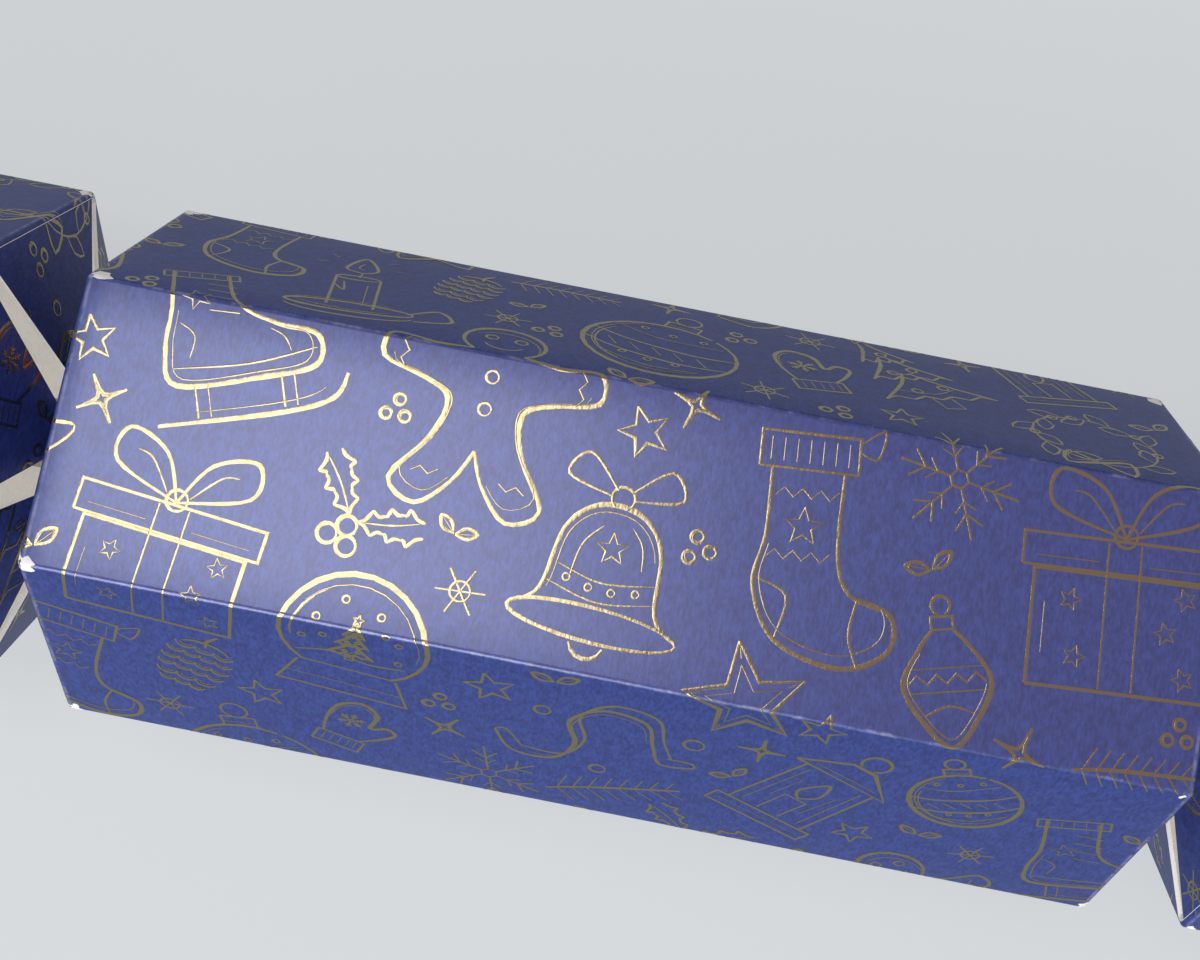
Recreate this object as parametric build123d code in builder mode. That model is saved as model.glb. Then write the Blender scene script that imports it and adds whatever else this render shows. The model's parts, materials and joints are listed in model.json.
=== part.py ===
from build123d import *

import os
from math import acos, asin, atan2, cos, degrees, hypot, radians, sin, sqrt, tan

# Christmas cracker of folded card: a hexagonal barrel, two hexagonal handles and two necks.
# Each neck is six pairs of flaps. A pair folds inwards from the creases at the barrel and at
# the handle and meets at the waist crease, so the neck is drawn in, and a diamond is cut out
# between one pair and the next. The snap runs through both waists, and the barrel holds the
# paper hat, the motto and the gift.
# Millimetres. X runs along the cracker and Z is up. The bottom panel rests on z = 0, and the
# middle of the barrel is at x = 0 and y = 0.

# Card and panels
panel_count = 6
panel_width = 30.0  # outside width of one panel
card = 0.5  # thickness of the card
barrel_length = 117.5  # crease to crease
handle_length = 82.0  # crease to open end
glue_tab_width = 10.0
glue_tab_inset = 3.0  # the tab stops this far short of each crease or end
glue_tab_panel = 3

# Necks
neck_gap = 12.0  # from the barrel's crease to the handle's, as folded
flap_length = 18.0  # from crease to waist, along one flap
waist_width = 5.0  # width of a flap at the waist
fold_clearance = 0.04  # between a crease's bead and the flap that turns on it
corner_clearance = 0.1  # between a flap's root and the bead of the next panel

# Snap: two card strips that overlap inside a paper band
snap_width = 8.0
snap_card = 0.4
snap_overlap = 50.0
snap_spacing = 0.4  # between the two strips
snap_waist_clearance = 0.15  # between the upper strip and the waist
snap_bend_start = 4.0  # beyond the handle's crease
snap_bend_run = 25.0
snap_bend_radius = 12.0
snap_glued_length = 25.0
patch_length = 14.0
patch_thickness = 0.15
patch_offset = 2.0  # from the middle of the overlap
band_length = 30.0
band_paper = 0.2
band_clearance = 0.1

# Paper hat: folded tissue rolled up inside a rubber band
hat_length = 55.0
hat_roll_radius = 7.0  # of the outer half turn, at the middle of the sheet
hat_sheet = 0.9  # thickness of the folded tissue
hat_sheet_gap = 0.5  # between turns
hat_half_turns = 7
hat_place_share = -0.15  # of the barrel's length, from its middle
rubber_thickness = 0.8
rubber_width = 1.6
contents_clearance = 0.02

# Motto: a paper slip folded along its length and lying half open
motto_length = 62.0
motto_width = 13.0  # folded
motto_paper = 0.12
motto_opening = 9.0  # degrees between the two leaves
motto_corner_gap = 0.6
motto_place_share = -0.14  # of the barrel's length, from its middle

# Gift: a small wooden spinning top that lies on its cone
top_radius = 11.0
top_cone_height = 9.0
top_rim_height = 3.0
top_crown_height = 2.5
top_crown_radius = 4.5
top_crown_rise = 0.8
top_bore_depth = 7.0
top_place_share = 0.2  # of the barrel's length, from its middle
stem_radius = 1.6
stem_length = 19.0
stem_knob_radius = 2.3

os.makedirs("parts", exist_ok=True)

# Worked out from the values above
turn = 360 / panel_count
half_turn = turn / 2
apothem = panel_width / 2 / tan(radians(half_turn))
inner_apothem = apothem - card
inner_half_width = inner_apothem * tan(radians(half_turn))
axis_height = apothem
barrel_crease = barrel_length / 2
handle_crease = barrel_crease + neck_gap
handle_end = handle_crease + handle_length
fold_angle = acos(neck_gap / 2 / hypot(flap_length, card)) + atan2(card, flap_length)
bead_reach = (card + fold_clearance) / sin(radians(turn))
flap_root = inner_half_width - bead_reach - corner_clearance
waist_radius = inner_apothem - flap_length * sin(fold_angle) + card * cos(fold_angle)
waist_clear_radius = waist_radius - card
cracker_axis = Axis((0, 0, axis_height), (1, 0, 0))
panel_numbers = range(1, panel_count + 1)
print(f"flaps fold in by {degrees(fold_angle):.6f} degrees, to {waist_radius:.6f} mm from the axis")


def outward(number, radial, along=0.0):
    """Radial times the outward direction of a panel, plus along times X. Panel 1 is on top."""
    angle = radians(turn * (number - 1))
    return Vector(along, -radial * sin(angle), radial * cos(angle))


def panel_plane(number):
    """The plane through the axis and the middle of a panel: x along the cracker, y outward."""
    across = Vector(1, 0, 0).cross(outward(number, 1))
    return Plane(origin=(0, 0, axis_height), x_dir=(1, 0, 0), z_dir=across)


def save(piece, name):
    """Labels a finished piece and writes it to its own file."""
    piece.part.label = name
    export_step(piece.part, f"parts/{name}.step")


def crease_bead(middle, facing):
    """Half disc round a crease, as far as the card is thick. Facing is its round side, in degrees."""
    with BuildSketch() as bead:
        with BuildLine():
            CenterArc(middle, card, facing - 90, 180)
            Line((middle[0], middle[1] - card), (middle[0], middle[1] + card))
        make_face()
    return bead.sketch


def tube_panel(start, end, creases):
    """The top panel of a tube from start to end, mitred along its folds, beaded at its creases."""
    with BuildPart() as panel:
        with BuildSketch(panel_plane(1)):
            with Locations(((start + end) / 2, inner_apothem + card / 2)):
                Rectangle(end - start, card)
            for crease in creases:
                add(crease_bead((crease, inner_apothem), 180 if crease == start else 0))
        extrude(amount=panel_width, both=True)
        with BuildSketch(Plane.YZ.offset(start - card)):
            with BuildLine():
                mitre = panel_width * tan(radians(half_turn))
                Polyline(
                    (0, axis_height),
                    (mitre, axis_height + panel_width),
                    (-mitre, axis_height + panel_width),
                    close=True,
                )
            make_face()
        extrude(amount=end - start + 2 * card, mode=Mode.INTERSECT)
    return panel.part


def card_tube(start, end, creases):
    """A folded tube of equal panels, closed by a glue tab inside one of them."""
    panel = tube_panel(start, end, creases)
    with BuildPart() as tube:
        for number in panel_numbers:
            add(panel.rotate(cracker_axis, turn * (number - 1)))
        with BuildSketch(panel_plane(glue_tab_panel).offset(inner_half_width - glue_tab_width)):
            with Locations(((start + end) / 2, inner_apothem - card / 2)):
                Rectangle(end - start - 2 * glue_tab_inset, card)
        extrude(amount=glue_tab_width)
    return tube


# Barrel
barrel = card_tube(-barrel_crease, barrel_crease, (-barrel_crease, barrel_crease))
save(barrel, "barrel")

# Handles
left_handle = card_tube(-handle_end, -handle_crease, (-handle_crease,))
save(left_handle, "left_handle")

right_handle = card_tube(handle_crease, handle_end, (handle_crease,))
save(right_handle, "right_handle")


def neck_flap(number, crease, direction, has_waist_bead):
    """A flap that folds inwards from the crease at x = crease, towards direction along X.

    The root is hollowed to turn on the crease's bead. At the waist the barrel's flap carries
    a bead, and the handle's flap is hollowed to turn on it.
    """
    along = outward(number, -sin(fold_angle), direction * cos(fold_angle))
    printed_side = outward(number, cos(fold_angle), direction * sin(fold_angle))
    root = Vector(0, 0, axis_height) + outward(number, inner_apothem, crease)
    hollow_radius = card + fold_clearance
    with BuildPart() as flap:
        with BuildSketch(Plane(origin=root, x_dir=along, z_dir=printed_side)):
            with BuildLine():
                Polyline(
                    (0, flap_root),
                    (flap_length, waist_width / 2),
                    (flap_length, -waist_width / 2),
                    (0, -flap_root),
                    close=True,
                )
            make_face()
            if has_waist_bead:
                with Locations((flap_length + card / 2, 0)):
                    Rectangle(card, waist_width)
        extrude(amount=2 * card)
        with BuildSketch(Plane(origin=root, x_dir=along, z_dir=along.cross(printed_side))):
            with Locations((flap_length / 2, card / 2)):
                Rectangle(flap_length, card)
            Circle(hollow_radius, mode=Mode.SUBTRACT)
            if has_waist_bead:
                add(crease_bead((flap_length, card), 0))
            else:
                with Locations((flap_length, card)):
                    Circle(hollow_radius, mode=Mode.SUBTRACT)
        extrude(amount=panel_width, both=True, mode=Mode.INTERSECT)
    return flap


# Neck flaps, numbered round from the top panel
for number in panel_numbers:
    for side, direction in (("left", -1), ("right", 1)):
        barrel_flap = neck_flap(number, direction * barrel_crease, direction, True)
        save(barrel_flap, f"{side}_barrel_flap_{number}")
        handle_flap = neck_flap(number, direction * handle_crease, -direction, False)
        save(handle_flap, f"{side}_handle_flap_{number}")

# Heights of the snap: the upper strip passes just under the top flaps' waist, and its edges
# clear the flaps beside them
clear_radius = waist_clear_radius - snap_waist_clearance
edge_limit = (clear_radius - snap_width / 2 * sin(radians(turn))) / cos(radians(turn))
upper_strip_top = axis_height + min(clear_radius, edge_limit)
upper_strip_bottom = upper_strip_top - snap_card
lower_strip_top = upper_strip_bottom - snap_spacing
lower_strip_bottom = lower_strip_top - snap_card
glued_height = axis_height + inner_apothem - snap_card / 2


def snap_strip(bottom, direction):
    """A strip from the overlap out through the waist, glued under the handle's top panel."""
    height = bottom + snap_card / 2
    inner_end = -direction * snap_overlap / 2
    bend_start = direction * (handle_crease + snap_bend_start)
    bend_end = bend_start + direction * snap_bend_run
    outer_end = bend_end + direction * snap_glued_length
    with BuildPart() as strip:
        with BuildLine(Plane.XZ):
            FilletPolyline(
                (inner_end, height),
                (bend_start, height),
                (bend_end, glued_height),
                (outer_end, glued_height),
                radius=snap_bend_radius,
            )
        with BuildSketch(
            Plane(origin=(inner_end, 0, height), x_dir=(0, 1, 0), z_dir=(direction, 0, 0))
        ):
            Rectangle(snap_width, snap_card)
        sweep()
    return strip


# Snap strips: the lower one belongs to the left handle, the upper one to the right handle
snap_strip_left = snap_strip(lower_strip_bottom, -1)
save(snap_strip_left, "snap_strip_left")

snap_strip_right = snap_strip(upper_strip_bottom, 1)
save(snap_strip_right, "snap_strip_right")

# Friction patches: the pull drags the right strip's patch over the left strip's patch
with BuildPart() as snap_patch_left:
    with BuildSketch(Plane.XY.offset(lower_strip_top)):
        with Locations((patch_offset + patch_length / 2, 0)):
            Rectangle(patch_length, snap_width)
    extrude(amount=patch_thickness)
save(snap_patch_left, "snap_patch_left")

with BuildPart() as snap_patch_right:
    with BuildSketch(Plane.XY.offset(upper_strip_bottom)):
        with Locations((-patch_offset - patch_length / 2, 0)):
            Rectangle(patch_length, snap_width)
    extrude(amount=-patch_thickness)
save(snap_patch_right, "snap_patch_right")

# Paper band round the overlap, stuck to the underside of the left strip
band_inside_height = upper_strip_top + band_clearance - lower_strip_bottom
band_inside_width = snap_width + 2 * band_clearance
with BuildPart() as snap_band:
    with BuildSketch(Plane.YZ.offset(-band_length / 2)):
        with Locations((0, lower_strip_bottom + band_inside_height / 2)):
            Rectangle(band_inside_width + 2 * band_paper, band_inside_height + 2 * band_paper)
            Rectangle(band_inside_width, band_inside_height, mode=Mode.SUBTRACT)
    extrude(amount=band_length)
save(snap_band, "snap_band")

# Place of the rolled hat: in the corner between the bottom panel and the panel behind it
hat_radius = hat_roll_radius + hat_sheet / 2
hat_seat_radius = hat_radius + rubber_thickness + contents_clearance
hat_y = inner_half_width - hat_seat_radius * tan(radians(half_turn))
hat_z = card + hat_seat_radius
hat_x = hat_place_share * barrel_length
hat_pitch = hat_sheet + hat_sheet_gap

# Paper hat: each half turn of the roll is tighter than the one round it by half the pitch
with BuildPart() as paper_hat:
    with BuildSketch(Plane.YZ.offset(hat_x - hat_length / 2)):
        with BuildLine():
            for half in range(hat_half_turns):
                middle = hat_y - hat_pitch / 2 * (half % 2)
                radius = hat_roll_radius - hat_pitch / 2 * half
                start_angle = 180 * (half % 2)
                CenterArc((middle, hat_z), radius + hat_sheet / 2, start_angle, 180)
                CenterArc((middle, hat_z), radius - hat_sheet / 2, start_angle, 180)
            outer_edge = hat_y + hat_roll_radius
            Line((outer_edge - hat_sheet / 2, hat_z), (outer_edge + hat_sheet / 2, hat_z))
            inner_edge = middle + radius * (1 if half % 2 else -1)
            Line((inner_edge - hat_sheet / 2, hat_z), (inner_edge + hat_sheet / 2, hat_z))
        make_face()
    extrude(amount=hat_length)
save(paper_hat, "paper_hat")

# Rubber band round the middle of the hat
with BuildPart() as hat_rubber_band:
    with BuildSketch(Plane.YZ.offset(hat_x - rubber_width / 2)):
        with Locations((hat_y, hat_z)):
            Circle(hat_radius + rubber_thickness)
            Circle(hat_radius, mode=Mode.SUBTRACT)
    extrude(amount=rubber_width)
save(hat_rubber_band, "hat_rubber_band")

# Motto slip, its fold towards the front corner of the bottom panel
with BuildPart() as motto_slip:
    with BuildSketch(Plane.YZ.offset(motto_place_share * barrel_length - motto_length / 2)):
        with Locations((motto_corner_gap - inner_half_width, card)):
            Rectangle(motto_width, motto_paper, align=(Align.MIN, Align.MIN))
            Rectangle(motto_width, motto_paper, motto_opening, align=(Align.MIN, Align.MIN))
    extrude(amount=motto_length)
save(motto_slip, "motto_slip")

# Spinning top: its tip and the edge of its rim are on the bottom panel
top_lean = atan2(top_radius, top_cone_height)
top_place = (top_place_share * barrel_length, 0, card)
top_plane = Plane(origin=top_place, x_dir=(sin(top_lean), 0, -cos(top_lean)), z_dir=(0, -1, 0))
top_axis = Axis(top_place, (cos(top_lean), 0, sin(top_lean)))
top_shoulder = top_cone_height + top_rim_height
top_height = top_shoulder + top_crown_height
bore_bottom = top_height - top_bore_depth
stem_top = bore_bottom + stem_length
with BuildPart() as spinning_top_body:
    with BuildSketch(top_plane):
        with BuildLine():
            Polyline(
                (0, bore_bottom),
                (0, 0),
                (top_radius, top_cone_height),
                (top_radius, top_shoulder),
            )
            SagittaArc((top_radius, top_shoulder), (top_crown_radius, top_height), top_crown_rise)
            Polyline(
                (top_crown_radius, top_height),
                (stem_radius, top_height),
                (stem_radius, bore_bottom),
                (0, bore_bottom),
            )
        make_face()
    revolve(axis=top_axis)
save(spinning_top_body, "spinning_top_body")

# Stem of the top, pressed into its bore, with a round knob to twirl
knob_middle = stem_top - stem_knob_radius
knob_foot = sqrt(stem_knob_radius**2 - stem_radius**2)
knob_start = -degrees(asin(knob_foot / stem_knob_radius))
with BuildPart() as spinning_top_stem:
    with BuildSketch(top_plane):
        with BuildLine():
            Polyline(
                (0, stem_top),
                (0, bore_bottom),
                (stem_radius, bore_bottom),
                (stem_radius, knob_middle - knob_foot),
            )
            CenterArc((0, knob_middle), stem_knob_radius, knob_start, 90 - knob_start)
        make_face()
    revolve(axis=top_axis)
save(spinning_top_stem, "spinning_top_stem")
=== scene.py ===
"""A hexagonal christmas cracker of folded card, printed with gold foil line drawings.

Every length is in metres. X runs along the cracker and Z is up. The card is drawn flat as well:
u runs along the blank from the middle of the barrel, with the necks unfolded, and v runs round
it from the middle of the top panel, over the front.
"""

import json
import math
import random

import bmesh
import bpy
from bpy.props import FloatProperty, FloatVectorProperty, IntProperty, PointerProperty
from bpy.types import Operator, Panel, PropertyGroup
from mathutils import Color, Matrix, Vector, noise

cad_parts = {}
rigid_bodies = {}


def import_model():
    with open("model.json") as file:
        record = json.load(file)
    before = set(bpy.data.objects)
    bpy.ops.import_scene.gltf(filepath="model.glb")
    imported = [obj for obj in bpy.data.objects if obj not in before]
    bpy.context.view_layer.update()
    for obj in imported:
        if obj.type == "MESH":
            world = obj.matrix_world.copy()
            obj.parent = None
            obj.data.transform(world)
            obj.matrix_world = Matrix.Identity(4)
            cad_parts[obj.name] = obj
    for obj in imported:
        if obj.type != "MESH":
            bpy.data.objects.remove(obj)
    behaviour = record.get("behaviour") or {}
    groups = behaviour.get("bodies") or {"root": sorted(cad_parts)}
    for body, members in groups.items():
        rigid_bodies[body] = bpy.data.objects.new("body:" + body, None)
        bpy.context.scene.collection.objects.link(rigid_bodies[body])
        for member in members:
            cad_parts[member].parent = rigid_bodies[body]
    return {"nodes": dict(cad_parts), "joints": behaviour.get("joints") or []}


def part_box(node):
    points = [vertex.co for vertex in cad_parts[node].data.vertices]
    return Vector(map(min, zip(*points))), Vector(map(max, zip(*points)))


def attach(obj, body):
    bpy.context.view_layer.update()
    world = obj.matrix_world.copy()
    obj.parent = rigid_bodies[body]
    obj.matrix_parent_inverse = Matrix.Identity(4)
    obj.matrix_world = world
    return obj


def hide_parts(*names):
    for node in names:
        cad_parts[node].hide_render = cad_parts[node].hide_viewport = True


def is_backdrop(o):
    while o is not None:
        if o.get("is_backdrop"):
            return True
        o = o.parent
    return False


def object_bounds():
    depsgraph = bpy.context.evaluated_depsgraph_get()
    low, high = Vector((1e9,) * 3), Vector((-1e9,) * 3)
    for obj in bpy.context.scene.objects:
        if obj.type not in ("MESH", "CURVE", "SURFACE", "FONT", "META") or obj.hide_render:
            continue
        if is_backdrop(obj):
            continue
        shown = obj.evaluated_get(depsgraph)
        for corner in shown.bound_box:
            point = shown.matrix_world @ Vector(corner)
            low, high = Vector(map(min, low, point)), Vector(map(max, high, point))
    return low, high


bl_info = {
    "name": "Christmas Cracker",
    "version": (1, 0, 0),
    "blender": (4, 5, 0),
    "location": "3D View > Sidebar > Cracker",
    "description": "Builds a folded-card christmas cracker with foil drawings",
    "category": "Object",
}

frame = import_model()
CAD_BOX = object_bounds()

MM = 0.001
SIDES = 6
TURN = math.tau / SIDES

# Measures of the card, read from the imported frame
joints = {joint["name"]: joint for joint in frame["joints"]}
BARREL_CREASE = Vector(joints["right_barrel_crease_1"]["pos_m"])
HANDLE_CREASE = Vector(joints["right_handle_crease_1"]["pos_m"])
WAIST_CREASE = -Vector(joints["left_waist_crease_1"]["pos_m"]).x
FOLD = math.radians(joints["right_handle_crease_1"]["range_deg"][1])
barrel_low, barrel_high = (Vector(corner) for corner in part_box("barrel"))
AXIS_HEIGHT = (barrel_low.z + barrel_high.z) / 2
AXIS = Vector((0.0, 0.0, AXIS_HEIGHT))
APOTHEM = (barrel_high.z - barrel_low.z) / 2
INNER_APOTHEM = BARREL_CREASE.z - AXIS_HEIGHT
CARD = APOTHEM - INNER_APOTHEM
WIDTH = 2 * APOTHEM * math.tan(TURN / 2)
AROUND = WIDTH * SIDES
HANDLE_END = Vector(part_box("right_handle")[1]).x
FLAP = (WAIST_CREASE - BARREL_CREASE.x - CARD * math.sin(FOLD)) / math.cos(FOLD)
FLAT_WAIST = BARREL_CREASE.x + FLAP
FLAT_HANDLE = BARREL_CREASE.x + 2 * FLAP
FLAT_END = FLAT_HANDLE + HANDLE_END - HANDLE_CREASE.x
V_LOW, V_HIGH = -WIDTH / 2, AROUND - WIDTH / 2

# Fine measures of the card and its print
HOLLOW = CARD * 1.08        # radius of a flap's hollow, over the bead that it turns on
BEAD_ARC = CARD * FOLD      # how far a tube's print runs on round its bead
BEAD_TURNS = (22, 45, 67, 90, 112, 140, 165)    # degrees round a bead at which it has a ring
BEAD_LIFT = 0.018 * MM      # the most that lies on a bead, as an unfolded flap passes close over it
RING_STEP = 2.5 * MM        # from one ring of a tube to the next
FLAKE_SIDES = 9             # corners of a torn flake
FLAKE_LIFT = 0.07 * MM      # how far its middle stands up
FLAKE_RINGS = ((0.55, 0.67), (1.0, 0.4), (1.0, 0.0), (0.55, 0.0), (0.0, 1.0), (0.0, 0.0))
STROKE_STEP = 0.00004       # how far a stroke lies over the last one, in a drawing of radius 1
PRINT_GRID = 12             # cells to the radius of a drawing, for the room that it takes up
LAYOUT_CELL = 0.9 * MM      # the grid that keeps the drawings apart
FOIL_MARGIN = 0.12 * MM     # bare card between the print and a flap's edge
CUT_MERGE = 1e-7            # points this close to a cut count as on it
NEARBY = 5 * MM             # print farther than this from a piece is left out before it is cut

# The camera, fitted to the corners of the barrel
CAMERA_PLACE = Vector((-2.7506, -14.3492, 203.3152)) * MM
CAMERA_RIGHT = Vector((0.98132693, 0.19178698, 0.01467002))
CAMERA_UP = Vector((-0.19212795, 0.97371249, 0.12235537))


# Settings
def length(name, description, default, low, high):
    """A length setting, given in millimetres."""
    return FloatProperty(name=name, description=description, default=default * MM, min=low * MM,
                         max=high * MM, unit="LENGTH")


def tint(name, description, default, brightest=1.0):
    """A colour setting."""
    return FloatVectorProperty(name=name, description=description, default=default, min=0.0,
                               max=brightest, subtype="COLOR")


def fraction(name, description, default):
    """A setting from 0 to 1."""
    return FloatProperty(name=name, description=description, default=default, min=0.0, max=1.0,
                         subtype="FACTOR")


def power(name, description, default):
    """A lamp's power, in watts."""
    return FloatProperty(name=name, description=description, default=default, min=0.0, unit="POWER")


class CardSettings(PropertyGroup):
    """The folded card and its finish."""
    fold_radius: length("Fold radius", "Outside radius of the long folds", 0.75, 0.6, 3)
    waist_width: length("Waist width", "Width of a flap at the waist", 5, 1, 9)
    fray: length("Fray", "Size of the torn white patches where the creases meet the folds", 1.6, 0, 3)
    blue: tint("Blue", "The printed side's deeper blue", (0.029, 0.042, 0.175))
    bright_blue: tint("Bright blue", "The printed side's brighter flecks", (0.052, 0.09, 0.36))
    # The worn edge colour is partly rubbed print and partly a painted highlight on the folds.
    worn: tint("Worn edge", "The print where a fold has rubbed", (0.36, 0.37, 0.58))
    # The core colour also feeds a faint painted glow on the bare card.
    core: tint("Core", "The card's bare side and its cut edges", (0.9, 0.88, 0.84))


class FoilSettings(PropertyGroup):
    """The line drawings in gold foil."""
    line_width: length("Line width", "Width of a drawing's heavier lines", 0.36, 0.1, 2)
    relief: length("Relief", "How far the foil stands up from the card", 0.015, 0.01, 0.2)
    large: length("Large drawing", "Radius of the large drawings", 11.8, 4, 20)
    medium: length("Medium drawing", "Radius of the medium drawings", 7.4, 3, 12)
    small: length("Small drawing", "Radius of the small drawings", 2.7, 1, 6)
    seed: IntProperty(name="Seed", description="Chooses the layout of the drawings", default=11, min=0)
    gold: tint("Gold", "The foil's colour", (0.37, 0.325, 0.18))


class StageSettings(PropertyGroup):
    """The floor, the lamps and the camera."""
    floor_size: length("Floor size", "Side of the floor", 16000, 1000, 100000)
    floor: tint("Floor", "The floor's colour", (0.715, 0.75, 0.755))
    evenness: fraction("Evenness", "How much of the floor's look is plain colour, without shade", 0.7)
    key_power: power("Key power", "Power of the large soft lamp above", 1.1)
    front_power: power("Front power", "Power of the lamp in front", 4.9)
    ceiling: tint("Ceiling", "Light from straight above, beside the lamp", (0.44, 0.35, 0.42), 4.0)
    walls: tint("Walls", "Light from the sides of the room", (0.6, 0.62, 0.64), 4.0)
    back_wall: fraction("Back wall", "Share of the walls' light that comes from behind", 0.12)
    lens: FloatProperty(name="Lens", description="Focal length of the camera, in millimetres",
                        default=45.68, min=10.0, max=200.0)


# Node trees and finishes
class Wire:
    """An output of a node. Arithmetic on it adds Math nodes."""

    def __init__(self, recipe, socket):
        self.recipe = recipe
        self.socket = socket

    def output(self, which):
        """Another output of the same node, by its number or name."""
        return Wire(self.recipe, self.socket.node.outputs[which])

    def maths(self, operation, *values):
        return self.recipe.node("ShaderNodeMath", {"operation": operation}, *values)

    def __add__(self, other):
        return self.maths("ADD", self, other)

    __radd__ = __add__

    def __sub__(self, other):
        return self.maths("SUBTRACT", self, other)

    def __rsub__(self, other):
        return self.maths("SUBTRACT", other, self)

    def __mul__(self, other):
        return self.maths("MULTIPLY", self, other)

    __rmul__ = __mul__

    def __truediv__(self, other):
        return self.maths("DIVIDE", self, other)

    def __rtruediv__(self, other):
        return self.maths("DIVIDE", other, self)

    def __abs__(self):
        return self.maths("ABSOLUTE", self)

    def nearest(self):
        """Distance to the nearest whole number."""
        return abs(self - self.maths("ROUND", self))

    def least(self, other):
        return self.maths("MINIMUM", self, other)

    def ramp(self, low, high, result_low=0.0, result_high=1.0):
        """Goes smoothly from one result to the other as the value goes from low to high."""
        return self.recipe.node("ShaderNodeMapRange", {"interpolation_type": "SMOOTHSTEP"}, self,
                                low, high, result_low, result_high)


class Recipe:
    """A tree of nodes in the making."""

    def __init__(self, tree):
        self.tree = tree

    def put(self, socket, value):
        if isinstance(value, Wire):
            self.tree.links.new(value.socket, socket)
        elif isinstance(value, (tuple, Color)) and len(value) < len(socket.default_value):
            socket.default_value = (*value, 1.0)
        else:
            socket.default_value = value

    def node(self, kind, settings=None, *values, out=0, **named):
        """Adds a node of one kind: its settings first, then its inputs in order or by name."""
        made = self.tree.nodes.new(kind)
        for key, value in (settings or {}).items():
            setattr(made, key, value)
        for socket, value in zip(made.inputs, values):
            self.put(socket, value)
        for key, value in named.items():
            self.put(made.inputs[key.replace("_", " ")], value)
        return Wire(self, made.outputs[out])

    def blend(self, factor, first, second):
        """The first colour, turning into the second as the factor goes from 0 to 1."""
        made = self.tree.nodes.new("ShaderNodeMix")
        made.data_type = "RGBA"
        for index, value in ((0, factor), (6, first), (7, second)):
            self.put(made.inputs[index], value)
        return Wire(self, made.outputs[2])

    def scaled(self, vector, scale):
        return self.node("ShaderNodeVectorMath", {"operation": "MULTIPLY"}, vector, scale)

    def noise(self, place, scale, detail=3.0, roughness=0.55, distortion=0.0):
        return self.node("ShaderNodeTexNoise", Vector=place, Scale=scale, Detail=detail,
                         Roughness=roughness, Distortion=distortion)


def dimmed(colour, share):
    return tuple(part * share for part in colour)


class Finish(Recipe):
    """One material in the making."""

    def __init__(self, name):
        self.material = bpy.data.materials.new(name)
        self.material.use_nodes = True
        super().__init__(self.material.node_tree)
        self.surface = self.tree.nodes["Principled BSDF"]

    def object_mm(self):
        """Object coordinates in millimetres."""
        return self.scaled(self.node("ShaderNodeTexCoord", out=3), (1 / MM, 1 / MM, 1 / MM))

    def flat_mm(self):
        """The place on the flat card in millimetres, u and v."""
        return self.scaled(self.node("ShaderNodeUVMap", {"uv_map": "flat"}), (1 / MM, 1 / MM, 1.0))

    def card_grain(self, flat):
        """The embossed grain of the card: fine wavy ridges across the cracker, and dimples."""
        ridges = self.noise(self.scaled(flat, (2.8, 1.1, 1.0)), 1.0, 4.0, 0.6, 0.3)
        return ridges, self.noise(self.scaled(flat, (0.8, 0.5, 1.0)), 1.0, 2.0, 0.5)

    def bump(self, height, distance):
        return self.node("ShaderNodeBump", Height=height, Distance=distance, Strength=1.0)

    def paint(self, **inputs):
        """Sets the surface: colours, numbers or wires, by the name of the input."""
        for key, value in inputs.items():
            self.put(self.surface.inputs[key.replace("_", " ")], value)
        return self.material


def pearl_card(card):
    """Dark blue pearly card with an embossed grain, paler along its folds and creases: partly rubbed wear,
    partly a painted highlight.
    """
    finish = Finish("pearl_card")
    flat = finish.flat_mm()
    ridges, dimples = finish.card_grain(flat)
    parts = finish.node("ShaderNodeSeparateXYZ", {}, flat)
    along = abs(parts)
    panel = WIDTH / MM
    to_fold = (parts.output(1) / panel + 0.5).nearest() * panel
    to_crease = abs(along - BARREL_CREASE.x / MM).least(abs(along - FLAT_HANDLE / MM))
    to_crease = to_crease.least(abs(along - FLAT_WAIST / MM))
    patches = finish.noise(finish.scaled(flat, (0.35, 0.35, 1.0)), 1.0, 4.0, 0.7)
    # Lighter along folds and creases: partly rubbed wear, partly a painted highlight where the rounded fold
    # catches the light.
    fold_wear_and_highlight = to_fold.ramp(0.4, 0.05) * patches.ramp(0.46, 0.68)
    crease_wear_and_highlight = to_crease.ramp(0.3, 0.05) * patches.ramp(0.35, 0.65)
    wear_and_highlight = (fold_wear_and_highlight * 0.6 + crease_wear_and_highlight * 0.5).least(1.0)
    flecks = (ridges * 0.7 + dimples * 0.3).ramp(0.36, 0.66, 0.15, 0.9)
    colour = finish.blend(wear_and_highlight, finish.blend(flecks, card.blue, card.bright_blue), card.worn)
    turned_away = finish.node("ShaderNodeLayerWeight", {}, 0.5, out=1)
    return finish.paint(
        Base_Color=colour, Metallic=(1.0 - wear_and_highlight) * 0.25, Roughness=0.29 + ridges * 0.1, IOR=1.3,
        Coat_Weight=turned_away.ramp(0.45, 0.1), Coat_Roughness=0.3, Coat_IOR=1.7,
        Normal=finish.bump(ridges * 0.75 + dimples * 0.5, 0.045 * MM))


def card_core(card):
    """The bare side of the card and its cut edges: matt, fibrous and slightly cream, with a faint painted
    glow.
    """
    finish = Finish("card_core")
    place = finish.object_mm()
    fibres = finish.noise(finish.scaled(place, (2.4, 1.2, 2.4)), 1.0, 5.0, 0.7)
    stains = finish.noise(place, 0.12, 3.0, 0.6)
    colour = finish.blend(fibres.ramp(0.3, 0.7) * 0.5 + stains.ramp(0.4, 0.7) * 0.4, card.core,
                          dimmed(card.core, 0.86))
    # The emission is painted light: a faint glow that stands in for light bounced onto the bare card inside
    # the necks.
    return finish.paint(Base_Color=colour, Roughness=0.82 + fibres * 0.1, Specular_IOR_Level=0.2,
                        Emission_Color=colour, Emission_Strength=0.14,
                        Normal=finish.bump(fibres, 0.05 * MM))


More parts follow.
